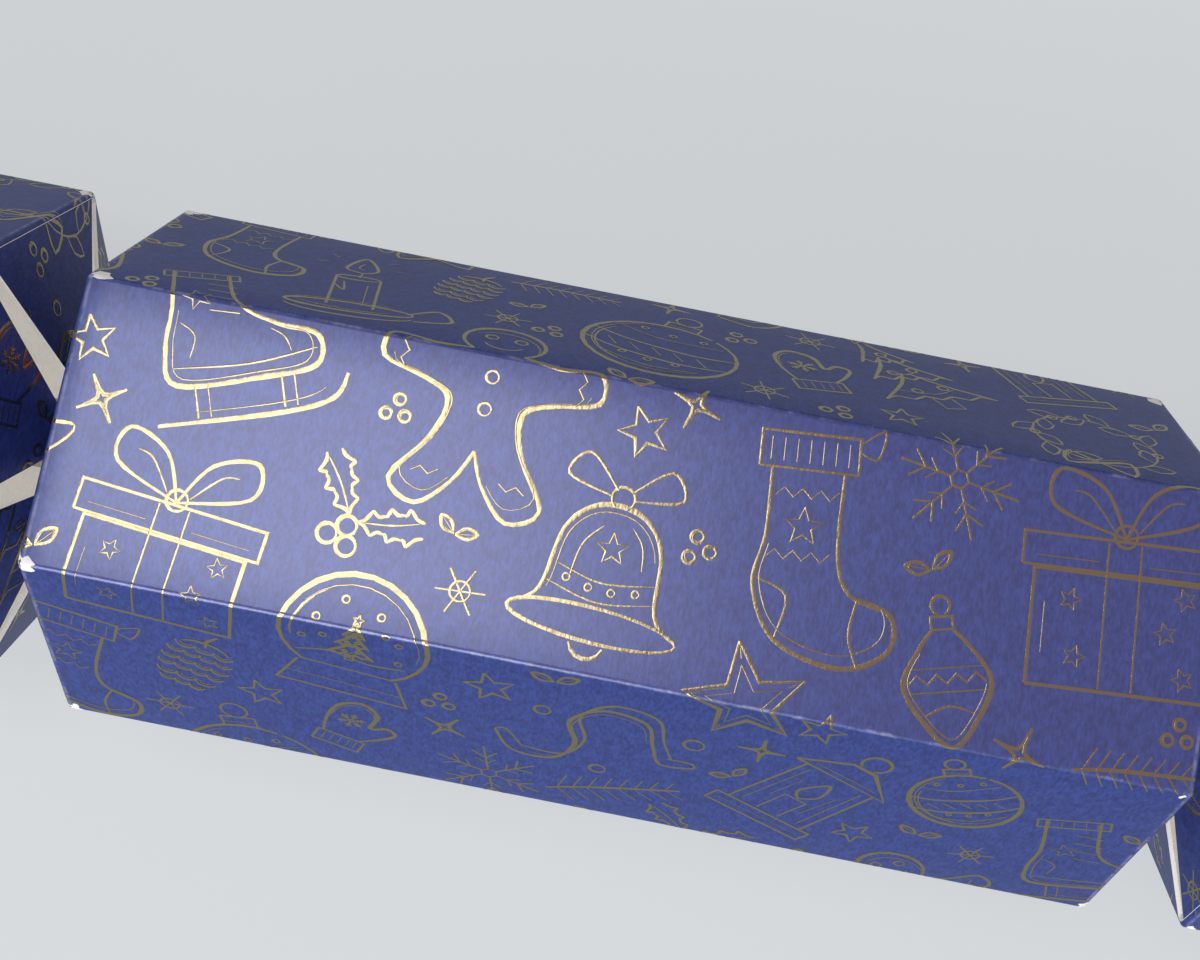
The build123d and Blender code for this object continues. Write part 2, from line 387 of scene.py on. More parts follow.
def gold_foil(foil):
    """Hot foil: bright metal that takes the card's grain, thin in places, its lines crowned."""
    finish = Finish("gold_foil")
    flat = finish.flat_mm()
    ridges, dimples = finish.card_grain(flat)
    dull = finish.noise(flat, 0.9, 4.0, 0.65).ramp(0.42, 0.72)
    across_line = finish.node("ShaderNodeAttribute", {"attribute_name": "across"}, out=2)
    crown = across_line * across_line * -0.3
    copper = tuple(part * kept for part, kept in zip(foil.gold, (0.92, 0.82, 0.66)))
    return finish.paint(
        Base_Color=finish.blend(dull * 0.6, foil.gold, copper), Metallic=1.0,
        Roughness=0.16 + dull * 0.12,
        Normal=finish.bump(ridges * 0.75 + dimples * 0.5 + crown, 0.03 * MM))


def tissue_paper():
    """Thin red tissue, creased all over."""
    finish = Finish("tissue_paper")
    place = finish.object_mm()
    creases = finish.noise(finish.scaled(place, (0.35, 0.8, 0.8)), 1.0, 5.0, 0.6, 1.2)
    fibres = finish.noise(place, 4.0)
    colour = finish.blend(creases.ramp(0.35, 0.65), (0.42, 0.012, 0.02), (0.62, 0.03, 0.035))
    return finish.paint(Base_Color=colour, Roughness=0.7 + fibres * 0.15, Sheen_Weight=0.2,
                        Normal=finish.bump(creases + fibres * 0.1, 0.3 * MM))


def grained(name, first, second, stretch, grain, tones, roughness, relief, **more):
    """A finish of two colours that follow one grain."""
    finish = Finish(name)
    fibres = finish.noise(finish.scaled(finish.object_mm(), stretch), *grain)
    least, spare = roughness
    return finish.paint(Base_Color=finish.blend(fibres.ramp(*tones), first, second),
                        Roughness=least + fibres * spare,
                        Normal=finish.bump(fibres, relief * MM), **more)


def plain_paper(name, first, second, scale=1.0):
    """A matt paper or board with fibres in two tones."""
    return grained(name, first, second, stretch=(1.2, 2.6, 2.6), grain=(scale, 5.0, 0.7),
                   tones=(0.35, 0.7), roughness=(0.8, 0.1), relief=0.03)


def friction_patch():
    """The snap's dark, gritty patch."""
    return grained("friction_patch", (0.05, 0.045, 0.04), (0.2, 0.17, 0.15), stretch=(1, 1, 1),
                   grain=(6.0, 4.0, 0.8), tones=(0.4, 0.6), roughness=(0.75, 0.2), relief=0.08)


def rubber_band():
    """Tan rubber with faint cut marks."""
    return grained("rubber_band", (0.55, 0.33, 0.13), (0.66, 0.43, 0.2), stretch=(6.0, 0.8, 0.8),
                   grain=(1.0, 3.0), tones=(0.3, 0.7), roughness=(0.55, 0.1), relief=0.04)


def turned_wood(name, first, second, coat):
    """Turned wood, plain or painted: fine grain along the piece."""
    return grained(name, first, second, stretch=(0.5, 2.2, 1.2), grain=(1.0, 5.0, 0.65, 0.4),
                   tones=(0.35, 0.7), roughness=(0.42, 0.15), relief=0.03, Coat_Weight=coat,
                   Coat_Roughness=0.15)


def floor_paint(stage):
    """A plain pale floor, partly its own even colour where the camera or a gloss sees it."""
    finish = Finish("floor")
    mottle = finish.noise(finish.object_mm(), 0.02)
    colour = finish.blend(mottle, stage.floor, dimmed(stage.floor, 0.97))
    material = finish.paint(Base_Color=colour, Roughness=0.9, Specular_IOR_Level=0.2)
    camera = finish.node("ShaderNodeLightPath")
    glossy = camera.output("Is Glossy Ray")
    plain = finish.node("ShaderNodeMixShader", {}, glossy,
                        finish.node("ShaderNodeEmission", {}, stage.floor, 1.0),
                        finish.node("ShaderNodeEmission", {}, stage.floor, 0.55))
    mixed = finish.node("ShaderNodeMixShader", {}, (camera + glossy * 1.2) * stage.evenness,
                        Wire(finish, finish.surface.outputs[0]), plain)
    finish.put(finish.tree.nodes["Material Output"].inputs["Surface"], mixed)
    return material


# Places on the card, folded and flat
def spread(start, end, steps):
    """Even steps from start to end, both included."""
    return [start + (end - start) * step / steps for step in range(steps + 1)]


def outward(number, radial, along=0.0):
    """Radial times the outward direction of a panel, plus along times X. Number 0 is on top."""
    angle = TURN * number
    return Vector((along, -radial * math.sin(angle), radial * math.cos(angle)))


def across(number, width):
    """Width times the direction in which v grows on a panel."""
    angle = TURN * number
    return Vector((0.0, -width * math.cos(angle), -width * math.sin(angle)))


def wrapped(x, v, apothem, radius):
    """The place at x and v on a hexagonal tube with rounded folds."""
    number = round(v / WIDTH)
    width = v - number * WIDTH
    tangent = radius * math.tan(TURN / 2)
    flat_half = WIDTH / 2 - tangent
    shrink = (apothem * math.tan(TURN / 2) - tangent) / flat_half
    beyond = max(0.0, abs(width) - flat_half)
    bend = beyond / tangent * TURN / 2
    radial = apothem - radius + radius * math.cos(bend)
    reach = math.copysign(min(abs(width), flat_half) * shrink + radius * math.sin(bend), width)
    return AXIS + outward(number, radial, x) + across(number, reach)


def around_steps(radius):
    """The values of v at which a tube's section is drawn: the flats, then the folds."""
    tangent = radius * math.tan(TURN / 2)
    flat_half = WIDTH / 2 - tangent
    widths = [share * flat_half for share in spread(-1.0, 1.0, 6)]
    widths += [flat_half + tangent / 2, WIDTH / 2, WIDTH / 2 + tangent / 2]
    return [number * WIDTH + width for number in range(SIDES) for width in widths]


class Crease:
    """A crease round the cracker: its x, its u on the flat blank, and which way its flaps lie."""

    def __init__(self, name, x, u, heading):
        self.name = name
        self.x = x
        self.u = u
        self.heading = heading

    def past(self, u):
        """How far u lies past the crease, into the neck."""
        return self.heading * (abs(u) - self.u)

    def flat(self, side, past):
        """u at a distance past the crease, on the left (-1) or the right (1)."""
        return side * (self.u + self.heading * past)

    def over_tube(self, u, v, lift, fold_radius):
        """The place over the tube's printed side at u and v, going round the bead past the crease."""
        side = math.copysign(1.0, u)
        past = self.past(u)
        if past <= 0:
            return wrapped(side * (abs(u) - self.u + self.x), v, APOTHEM + lift, fold_radius)
        angle = past / CARD
        reach = CARD + min(lift, BEAD_LIFT)
        x = side * (self.x + self.heading * reach * math.sin(angle))
        return wrapped(x, v, INNER_APOTHEM + reach * math.cos(angle), fold_radius)


AT_BARREL = Crease("barrel", BARREL_CREASE.x, BARREL_CREASE.x, 1)
AT_HANDLE = Crease("handle", HANDLE_CREASE.x, FLAT_HANDLE, -1)
TUBES = (("barrel", AT_BARREL, -BARREL_CREASE.x, BARREL_CREASE.x),
         ("left_handle", AT_HANDLE, -HANDLE_END, -HANDLE_CREASE.x),
         ("right_handle", AT_HANDLE, HANDLE_CREASE.x, HANDLE_END))


def creased(x):
    """Whether a tube's end is creased, and not an open end of the cracker."""
    return abs(x) < HANDLE_END


def flat_of(x):
    """u on the flat blank for a place x on the barrel or on a handle."""
    if abs(x) < WAIST_CREASE:
        return x
    return math.copysign(abs(x) - HANDLE_CREASE.x + FLAT_HANDLE, x)


class Flap:
    """One flap of a neck, by its panel's number, its side (-1 or 1) and the crease it turns on."""

    def __init__(self, number, side, crease):
        self.number = number
        self.side = side
        self.crease = crease
        self.node = f"{'left' if side < 0 else 'right'}_{crease.name}_flap_{number + 1}"
        heading = side * crease.heading
        self.root = AXIS + outward(number, INNER_APOTHEM, side * crease.x)
        self.along = outward(number, -math.sin(FOLD), heading * math.cos(FOLD))
        self.printed = outward(number, math.cos(FOLD), heading * math.sin(FOLD))

    def place(self, distance, height, width):
        """The place at a distance from the crease, a height over the bare side, and a width."""
        return self.root + self.along * distance + self.printed * height + across(self.number, width)


FLAPS = [Flap(number, side, crease) for side in (-1, 1) for number in range(SIDES)
         for crease in (AT_BARREL, AT_HANDLE)]


def flap_half(distance):
    """Half the width of a flap at a distance from its crease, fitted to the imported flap."""
    low, high = (Vector(corner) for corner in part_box("right_barrel_flap_1"))
    first = math.sqrt(HOLLOW ** 2 - CARD ** 2) / FLAP
    waist = bpy.context.scene.cracker_card.waist_width / 2
    root = ((high.y - low.y) / 2 - waist * first) / (1 - first)
    return root + (waist - root) * min(distance / FLAP, 1.0)


# Pieces of card
def grid_faces(rows, columns, closed_rows=False, closed_columns=False):
    """Faces over points numbered row by row, which may close up one way or both."""
    return [(row * columns + column, row * columns + (column + 1) % columns,
             (row + 1) % rows * columns + (column + 1) % columns, (row + 1) % rows * columns + column)
            for row in range(rows - 1 + closed_rows) for column in range(columns - 1 + closed_columns)]


def added(name, data):
    """A new object in the scene."""
    made = bpy.data.objects.new(name, data)
    bpy.context.scene.collection.objects.link(made)
    return made


def mesh_of(piece):
    """A plain mesh of an object as its modifiers leave it."""
    graph = bpy.context.evaluated_depsgraph_get()
    return bpy.data.meshes.new_from_object(piece.evaluated_get(graph), depsgraph=graph)


def whole(shape):
    return shape.verts[:] + shape.edges[:] + shape.faces[:]


def new_piece(name, points, faces, materials, kinds=None, flat=None):
    """A finished piece from points and faces, with a material for each face and flat places."""
    mesh = bpy.data.meshes.new(name)
    mesh.from_pydata([tuple(point) for point in points], [], faces)
    for material in materials:
        mesh.materials.append(material)
    if flat:
        mesh.polygons.foreach_set("material_index", kinds)
        layer = mesh.uv_layers.new(name="flat")
        for loop in mesh.loops:
            layer.data[loop.index].uv = flat[loop.vertex_index]
    piece = added(name, mesh)
    shape = bmesh.new()
    shape.from_mesh(mesh)
    bmesh.ops.recalc_face_normals(shape, faces=shape.faces)
    shape.to_mesh(mesh)
    shape.free()
    mesh.shade_smooth()
    mesh.set_sharp_from_angle(angle=math.radians(38))
    return piece


def seam_flat(piece):
    """Keeps v growing across the seam, where it starts again from the first panel."""
    layer = piece.data.uv_layers["flat"].data
    for face in piece.data.polygons:
        values = [layer[loop].uv.y for loop in face.loop_indices]
        if max(values) - min(values) > AROUND / 2:
            for loop in face.loop_indices:
                if layer[loop].uv.y < AROUND / 2:
                    layer[loop].uv.y += AROUND


def card_tube(name, start, end, card, materials):
    """A folded card tube: printed outside and round its creases, bare inside and at cut ends."""
    steps = max(2, round((end - start) / RING_STEP))
    outside = [(x, APOTHEM) for x in spread(start, end, steps)]
    bead = [(CARD * math.sin(math.radians(turn)), INNER_APOTHEM + CARD * math.cos(math.radians(turn)))
            for turn in BEAD_TURNS]
    if creased(end):
        outside += [(end + reach, apothem) for reach, apothem in bead]
    if creased(start):
        outside = [(start - reach, apothem) for reach, apothem in reversed(bead)] + outside
    inner_radius = max(card.fold_radius - CARD, 0.3 * MM)
    rings = [(x, apothem, card.fold_radius) for x, apothem in outside]
    rings += [(x, INNER_APOTHEM, inner_radius) for x in spread(end, start, steps)]
    places = around_steps(card.fold_radius)
    points = [wrapped(x, v, apothem, fold) for x, apothem, fold in rings for v in places]
    flat = [(flat_of(x), v) for x, _, _ in rings for v in places]
    kinds = []
    for ring, (_, apothem, _) in enumerate(rings):
        bare = ring + 1 >= len(outside) or min(apothem, rings[ring + 1][1]) < INNER_APOTHEM
        kinds += [int(bare)] * len(places)
    faces = grid_faces(len(rings), len(places), closed_rows=True, closed_columns=True)
    tube = new_piece(name, points, faces, materials, kinds, flat)
    seam_flat(tube)
    return tube


def neck_flap(flap, materials):
    """One flap of folded card, hollowed at the crease it turns on."""
    first = math.asin(CARD / HOLLOW)
    profile = [(HOLLOW * math.cos(turn), HOLLOW * math.sin(turn)) for turn in spread(first, 0.0, 3)]
    if flap.crease is AT_HANDLE:
        profile += [(FLAP - HOLLOW * math.sin(turn), CARD - HOLLOW * math.cos(turn))
                    for turn in spread(math.pi / 2 - first, math.pi / 2, 3)]
    else:
        profile += [(FLAP + CARD * math.sin(turn), CARD - CARD * math.cos(turn))
                    for turn in spread(0.0, math.pi, 6)]
        profile.append((FLAP, CARD))
    top = [(distance, CARD) for distance in spread(profile[-1][0], profile[0][0], 8)[1:-1]]
    outline = profile + top
    width_shares = (-1.0, -0.96, -0.5, 0.0, 0.5, 0.96, 1.0)
    points, flat = [], []
    for distance, height in outline:
        half = flap_half(distance)
        for share in width_shares:
            points.append(flap.place(distance, height, share * half))
            flat.append((flap.crease.flat(flap.side, distance), flap.number * WIDTH + share * half))
    count = len(width_shares)
    faces = grid_faces(len(outline), count, closed_rows=True)
    kinds = [int(ring < len(profile) - 1) for ring in range(len(outline)) for _ in range(count - 1)]
    for edge in (0, count - 1):
        faces.append(tuple(ring * count + edge for ring in range(len(outline))))
        kinds.append(1)
    return new_piece(f"{flap.node}_card", points, faces, materials, kinds, flat)


def torn_patches(name, crease, corners, card, material):
    """Ragged white flakes over the corners of a tube, where its creases meet its folds."""
    chance = random.Random(name)
    points, faces = [], []
    for u, v in corners:
        for _ in range(chance.choice((1, 2, 3, 3))):
            side = math.copysign(1, u)
            middle = (u + chance.uniform(-0.5, 0.35) * card.fray * side * crease.heading,
                      v + chance.uniform(-0.7, 0.7) * card.fray)
            size = card.fray * chance.uniform(0.3, 1.25)
            stretch = chance.uniform(0.35, 1.0)
            lean = chance.uniform(0, math.pi)
            radii = [size * chance.uniform(0.45, 1.0) for _ in range(FLAKE_SIDES)]
            first = len(points)
            for share, lift in FLAKE_RINGS:    # shares of its radius and of its lift
                for step, radius in enumerate(radii if share else radii[:1]):
                    angle = math.tau * step / FLAKE_SIDES
                    at_u, at_v = placed(radius * share * math.cos(angle) * stretch,
                                        radius * share * math.sin(angle), middle, lean)
                    past = min(crease.past(at_u), BEAD_ARC)
                    points.append(crease.over_tube(crease.flat(side, past), at_v, lift * FLAKE_LIFT,
                                                   card.fold_radius))
            flake = grid_faces(4, FLAKE_SIDES, closed_columns=True)
            last_ring, top, bottom = 3 * FLAKE_SIDES, 4 * FLAKE_SIDES, 4 * FLAKE_SIDES + 1
            for step in range(FLAKE_SIDES):
                after = (step + 1) % FLAKE_SIDES
                flake += [(top, step, after), (bottom, last_ring + after, last_ring + step)]
            faces += [tuple(first + corner for corner in face) for face in flake]
    return new_piece(name, points, faces, [material])


def glue_tab(name, start, end, material):
    """The tab that closes a tube: a strip glued inside the third panel, beside its last fold."""
    inset, width, bevel, glued = 3 * MM, 10 * MM, 1.5 * MM, 0.01 * MM
    far = (INNER_APOTHEM - CARD) * math.tan(TURN / 2)
    corners = ((start + inset, far), (end - inset, far), (end - inset - bevel, far - width),
               (start + inset + bevel, far - width))
    points = [AXIS + outward(2, radial, x) + across(2, reach)
              for radial in (INNER_APOTHEM + glued, INNER_APOTHEM - CARD) for x, reach in corners]
    faces = [(0, 1, 2, 3), (7, 6, 5, 4), *grid_faces(2, 4, closed_columns=True)]
    return new_piece(name, points, faces, [material])


# Strokes of the drawings. A stroke is a list of points in a drawing of radius 1, and a weight.
def placed(x, y, middle, turn, scale=1.0):
    """A point turned by an angle and scaled, then moved to the middle."""
    cosine, sine = math.cos(turn) * scale, math.sin(turn) * scale
    return middle[0] + x * cosine - y * sine, middle[1] + x * sine + y * cosine


def turned(strokes, degrees, scale=1.0, x=0.0, y=0.0):
    """The strokes turned about their middle, scaled and moved."""
    turn = math.radians(degrees)
    return [([placed(*point, (x, y), turn, scale) for point in points], weight)
            for points, weight in strokes]


def mirrored(stroke):
    points, weight = stroke
    return [(-x, y) for x, y in points], weight


def both(*strokes):
    """Each stroke, then its mirror image."""
    return [copy for stroke in strokes for copy in (stroke, mirrored(stroke))]


def even(*left):
    """The points of a left half, then their mirror images, with one on the middle only once."""
    right = [(-x, y) for x, y in reversed(left) if x]
    return [*left, *right]


def line(weight, *points):
    return list(points), weight


def closed(weight, *points):
    return [*points, points[0]], weight


def level(weight, half, y):
    return line(weight, (-half, y), (half, y))


def zigzag(weight, x, y, step, rise, count):
    return line(weight, *((x + step * k, y + rise * (k % 2)) for k in range(count)))


def ticks(low, high, *places, weight=0.6):
    return [line(weight, (x, low), (x, high)) for x in places]


def arc(weight, x, y, radius, start=0, end=360, squash=1.0, least=5):
    steps = max(least, round(abs(end - start) / (14 if radius > 0.3 else 24)))
    return [(x + radius * math.cos(turn), y + squash * radius * math.sin(turn))
            for turn in (math.radians(degrees) for degrees in spread(start, end, steps))], weight


def dots(weight, radius, *places):
    return [arc(weight, x, y, radius) for x, y in places]


def rays(weight, inner, outer, *degrees, x=0.0, y=0.0):
    """Short lines that point away from a middle."""
    return [line(weight, *((x + reach * math.cos(turn), y + reach * math.sin(turn))
                           for reach in (inner, outer)))
            for turn in (math.radians(degree) for degree in degrees)]


def curve(weight, *knots, steps=6):
    """A smooth stroke through its knots."""
    ends = [knots[0], *knots, knots[-1]]
    points = []
    for before, start, end, after in zip(ends, ends[1:], ends[2:], ends[3:]):
        for step in range(steps):
            t = step / steps
            points.append(tuple(
                0.5 * (2 * b + (c - a) * t + (2 * a - 5 * b + 4 * c - d) * t * t
                       + (3 * b - a - 3 * c + d) * t ** 3)
                for a, b, c, d in zip(before, start, end, after)))
    return points + [knots[-1]], weight


def star_outline(weight, points, outer, inner):
    corners = []
    for corner in range(2 * points + 1):
        radius = inner if corner % 2 else outer
        angle = math.radians(90.0 + corner * 180 / points)
        corners.append((radius * math.cos(angle), radius * math.sin(angle)))
    return corners, weight


def little_star(weight, x, y, outer, inner, lean=0):
    return turned([star_outline(weight, 5, outer, inner)], lean, 1.0, x, y)


# The drawings
def bauble():
    strokes = [arc(1.5, 0, -0.2, 0.74, 62, 418), arc(0.7, 0, -0.2, 0.62, 150, 248),
               curve(1, *even((-0.7, -0.04), (-0.3, -0.16))), curve(1, *even((-0.7, -0.36), (-0.3, -0.5)))]
    for step in range(5):
        x = -0.44 + 0.22 * step
        strokes.append(line(0.8, (x - 0.07, -0.23 - 0.02 * (step % 2)), (x + 0.07, -0.4)))
    return [*strokes, line(1.2, *even((-0.17, 0.52), (-0.17, 0.7))), level(0.6, 0.17, 0.6),
            arc(1, 0, 0.83, 0.13, -70, 250), curve(0.6, (-0.52, 0.22), (-0.1, 0.1), (0.52, 0.22)),
            curve(0.6, *even((-0.5, -0.62), (0, -0.76))),
            *dots(0.8, 0.035, (-0.3, 0.3), (0, 0.26), (0.3, 0.3), (-0.26, -0.56), (0, -0.6), (0.26, -0.56))]


def star():
    return [star_outline(1.5, 5, 0.98, 0.42), star_outline(0.7, 5, 0.62, 0.25),
            *rays(0.6, 0.72, 0.88, *range(90, 450, 72))]


def snowflake():
    arm = [line(1.1, (0, 0.14), (0, 0.97)), line(1, *even((-0.22, 0.78), (0, 0.56))),
           line(0.8, *even((-0.17, 0.52), (0, 0.36)))]
    return [stroke for k in range(6) for stroke in turned(arm, 60 * k)] + [star_outline(0.9, 3, 0.15, 0.15)]


def bell():
    return [curve(1.4, *even((-0.72, -0.42), (-0.5, -0.24), (-0.42, 0.3), (-0.18, 0.56))),
            arc(1.1, 0, -0.44, 0.73, squash=0.2), arc(1.2, 0, -0.58, 0.15, 195, 345),
            curve(0.7, (-0.28, -0.1), (-0.24, 0.2), (-0.1, 0.4)), arc(1, 0, 0.66, 0.1, -60, 240),
            curve(0.7, *even((-0.46, -0.16), (0, -0.25))),
            *both(curve(1, (0.06, 0.72), (0.36, 0.98), (0.5, 0.76), (0.1, 0.66))),
            curve(0.7, (-0.4, 0.0), (0, -0.08), (0.43, 0.0)),
            curve(0.6, (0.3, 0.1), (0.26, 0.3), (0.14, 0.44)),
            *dots(0.8, 0.03, *even((-0.3, -0.1), (-0.1, -0.14))),
            *little_star(0.8, 0.02, 0.22, 0.14, 0.06, 8)]


def holly():
    spikes = [(0, 0), (0.2, 0.2), (0.38, 0.14), (0.46, 0.27), (0.66, 0.2), (0.74, 0.3), (0.98, 0.12)]
    upper = [curve(1.1, a, ((a[0] + b[0]) / 2, (a[1] + b[1]) / 2 - 0.05), b, steps=3)
             for a, b in zip(spikes, spikes[1:])]
    lower = [([(x, -y * 0.9) for x, y in points], weight) for points, weight in upper]
    leaf = upper + lower + [curve(0.7, (0.05, 0), (0.5, 0.02), (0.9, 0.1))]
    berries = [arc(1.2, x, y, 0.14, 20, 380) for x, y in ((-0.02, -0.24), (0.16, -0.46), (-0.16, -0.5))]
    return turned(leaf, 34, 0.95, 0.06, -0.1) + turned(leaf, 146, 0.95, -0.1, -0.1) + berries


def candy_cane():
    outer = curve(1.3, (-0.36, -0.95), (-0.3, -0.3), (-0.24, 0.35), (-0.1, 0.78), (0.26, 0.9), (0.56, 0.66),
                  (0.58, 0.36))
    inner = curve(1.1, (-0.16, -0.97), (-0.1, -0.3), (-0.05, 0.3), (0.06, 0.6), (0.24, 0.68), (0.36, 0.54),
                  (0.38, 0.36))
    ends = [line(1, outer[0][0], inner[0][0]), line(1, inner[0][-1], outer[0][-1])]
    return [outer, inner, *ends, *(line(0.9, outer[0][3 + 4 * k], inner[0][1 + 4 * k]) for k in range(7))]


def fir_tree():
    strokes = []
    for top, half, foot in ((0.84, 0.32, 0.36), (0.44, 0.48, -0.12), (-0.02, 0.66, -0.64)):
        strokes += both(curve(1.25, (-0.04, top), (-half * 0.34, (top + foot) / 2 + 0.02),
                              (-half, foot - 0.08), steps=3))
        skirt = [(-half + half * k / 4, foot - (0.0 if k % 2 else 0.08)) for k in range(9)]
        strokes += [curve(1.2, *skirt, steps=2),
                    curve(0.6, (-half * 0.6, foot + 0.16), (0, foot + 0.06), (half * 0.5, foot + 0.2),
                          steps=3)]
    return [*strokes, line(1, *even((-0.11, -0.7), (-0.11, -0.95))),
            *dots(1, 0.055, (0.04, 0.5), (0.14, 0.06), (-0.14, -0.02), (0.2, -0.42), (-0.16, -0.5)),
            *little_star(0.9, 0.0, 0.95, 0.16, 0.07)]


def gift_box():
    strokes = [closed(1.4, *even((-0.7, -0.85), (-0.7, 0.06))),
               closed(1.2, *even((-0.8, 0.08), (-0.8, 0.34))),
               *ticks(-0.83, 0.32, -0.13, 0.13, weight=0.9),
               *both(curve(1.2, (0, 0.36), (-0.2, 0.74), (-0.56, 0.86), (-0.58, 0.56), (0, 0.36)),
                     curve(0.7, (-0.1, 0.42), (-0.3, 0.66), (-0.44, 0.7))),
               *ticks(-0.6, -0.2, -0.6), arc(1, 0, 0.38, 0.09), line(0.6, (-0.7, 0.16), (-0.2, 0.16)),
               line(0.6, (0.2, 0.16), (0.7, 0.16))]
    for x, y in ((-0.4, -0.16), (-0.34, -0.6), (0.36, -0.34), (0.52, -0.68), (0.5, -0.06)):
        strokes += little_star(0.7, x, y, 0.09, 0.04, 40 * x)
    return strokes


def candle():
    return [*ticks(-0.5, 0.34, -0.2, 0.2, weight=1.3), arc(1, 0, 0.34, 0.2, squash=0.3),
            line(0.9, (0, 0.36), (0.02, 0.5)),
            curve(1.2, (0.02, 0.5), (-0.14, 0.62), (0.02, 0.98), (0.15, 0.64), (0.02, 0.5)),
            arc(1.3, 0, -0.52, 0.55, squash=0.22), arc(1, 0, -0.6, 0.55, 190, 350, 0.3),
            curve(1.2, (0.5, -0.5), (0.76, -0.3), (0.88, -0.54), (0.56, -0.66)),
            curve(0.8, (-0.2, 0.1), (-0.1, -0.06), (-0.12, 0.2)), *ticks(-0.44, 0.16, 0.1),
            curve(0.6, (0.02, 0.6), (-0.03, 0.68), (0.02, 0.82)), arc(0.6, 0.02, -0.52, 0.36, 200, 340, 0.2),
            *rays(0.7, 0.3, 0.42, 0, 40, 140, 180, y=0.72)]


def stocking():
    return [curve(1.4, (-0.34, 0.62), (-0.34, 0.1), (-0.4, -0.3), (-0.2, -0.7), (0.3, -0.86), (0.66, -0.7),
                  (0.66, -0.42), (0.34, -0.3), (0.22, 0.0), (0.22, 0.62)),
            closed(1.2, (-0.44, 0.62), (0.32, 0.62), (0.32, 0.9), (-0.44, 0.9)),
            curve(0.9, (-0.38, -0.24), (-0.14, -0.36), (-0.2, -0.68)),
            curve(0.9, (0.4, -0.33), (0.36, -0.6), (0.44, -0.84)),
            curve(0.8, (0.32, 0.86), (0.5, 0.98), (0.46, 0.76), (0.32, 0.8)),
            zigzag(0.7, -0.3, 0.4, 0.07, 0.07, 8), zigzag(0.7, -0.33, -0.08, 0.07, 0.07, 8),
            *ticks(0.67, 0.85, -0.36, -0.26, -0.16, -0.06, 0.04, 0.14, 0.24),
            *little_star(0.8, -0.06, 0.18, 0.15, 0.065)]


def mitten():
    return [curve(1.4, (-0.36, -0.45), (-0.46, 0.1), (-0.4, 0.62), (-0.08, 0.88), (0.26, 0.66), (0.3, 0.16),
                  (0.56, 0.34), (0.74, 0.2), (0.56, -0.14), (0.3, -0.45)),
            closed(1.2, (-0.44, -0.46), (0.4, -0.46), (0.4, -0.86), (-0.44, -0.86)),
            *ticks(-0.52, -0.8, -0.3, -0.15, 0.0, 0.15, 0.28), *turned(snowflake(), 0, 0.26, -0.06, 0.2)]


def fir_sprig():
    strokes = [curve(1.2, (-0.85, -0.4), (-0.2, -0.1), (0.9, 0.3))]
    for step in range(8):
        x, y = -0.7 + 0.2 * step, -0.33 + 0.082 * step
        reach = 0.4 - 0.022 * step
        strokes += [line(0.8, (x, y), (x + 0.08, y + reach)), line(0.8, (x, y), (x + 0.28, y - reach * 0.75))]
    return strokes


def swirl():
    wave = [(-0.96, -0.42), (-0.66, -0.72), (-0.26, -0.6), (-0.2, -0.18), (-0.42, 0.22), (-0.24, 0.62),
            (0.2, 0.66), (0.44, 0.3), (0.66, 0.02), (0.96, 0.16)]
    second = [(x + 0.05, y + 0.15) for x, y in wave[1:9]]
    return [curve(1.3, *wave, steps=7), curve(1.1, *second, steps=7),
            curve(0.9, (0.96, 0.16), (0.9, 0.24), (0.66, 0.17)),
            curve(0.9, (-0.96, -0.42), (-0.86, -0.36), (-0.6, -0.58)), arc(1, 0.74, 0.6, 0.1),
            *dots(1, 0.08, (0.2, -0.5), (-0.72, 0.24))]


def wreath():
    strokes = [arc(0.8, 0, 0, 0.62)]
    leaf = [curve(0.9, (0.0, 0.0), (0.17, 0.1), (0.34, 0.0), (0.17, -0.08), (0.0, 0.0), steps=2)]
    for k in (*range(11), 13, 14):
        angle = 360 * k / 15
        strokes += turned(leaf, angle + (62 if k % 2 else 128), 1.0,
                          0.62 * math.cos(math.radians(angle)), 0.62 * math.sin(math.radians(angle)))
    return [*strokes, *dots(1, 0.05, (0.62, 0), (-0.19, 0.59), (0.44, 0.44), (-0.6, -0.12), (-0.4, 0.46)),
            curve(1.3, (0, -0.62), (-0.3, -0.46), (-0.32, -0.78), (0, -0.62), (0.3, -0.46), (0.32, -0.78),
                  (0, -0.62), steps=3)]


def sparkle():
    tips = [(0, 1), (1, 0), (0, -1), (-1, 0), (0, 1)]
    return [curve(1.4, a, (0.12 * (a[0] + b[0]), 0.12 * (a[1] + b[1])), b, steps=3)
            for a, b in zip(tips, tips[1:])]


def small_star():
    return [star_outline(1.5, 5, 0.95, 0.4)]


def berry_dots():
    return dots(1.4, 0.24, (-0.4, -0.3), (0.42, -0.2), (0.0, 0.45))


def tiny_flake():
    return [*rays(1.2, -1, 1, 30, 90, 150), arc(1, 0, 0, 0.4)]


def leaf_pair():
    leaf = [curve(1.3, (0.05, 0), (0.5, 0.3), (0.98, 0.1), (0.55, -0.16), (0.05, 0), steps=4),
            line(0.8, (0.1, 0.0), (0.8, 0.07))]
    return turned(leaf, 28) + turned(leaf, 152)


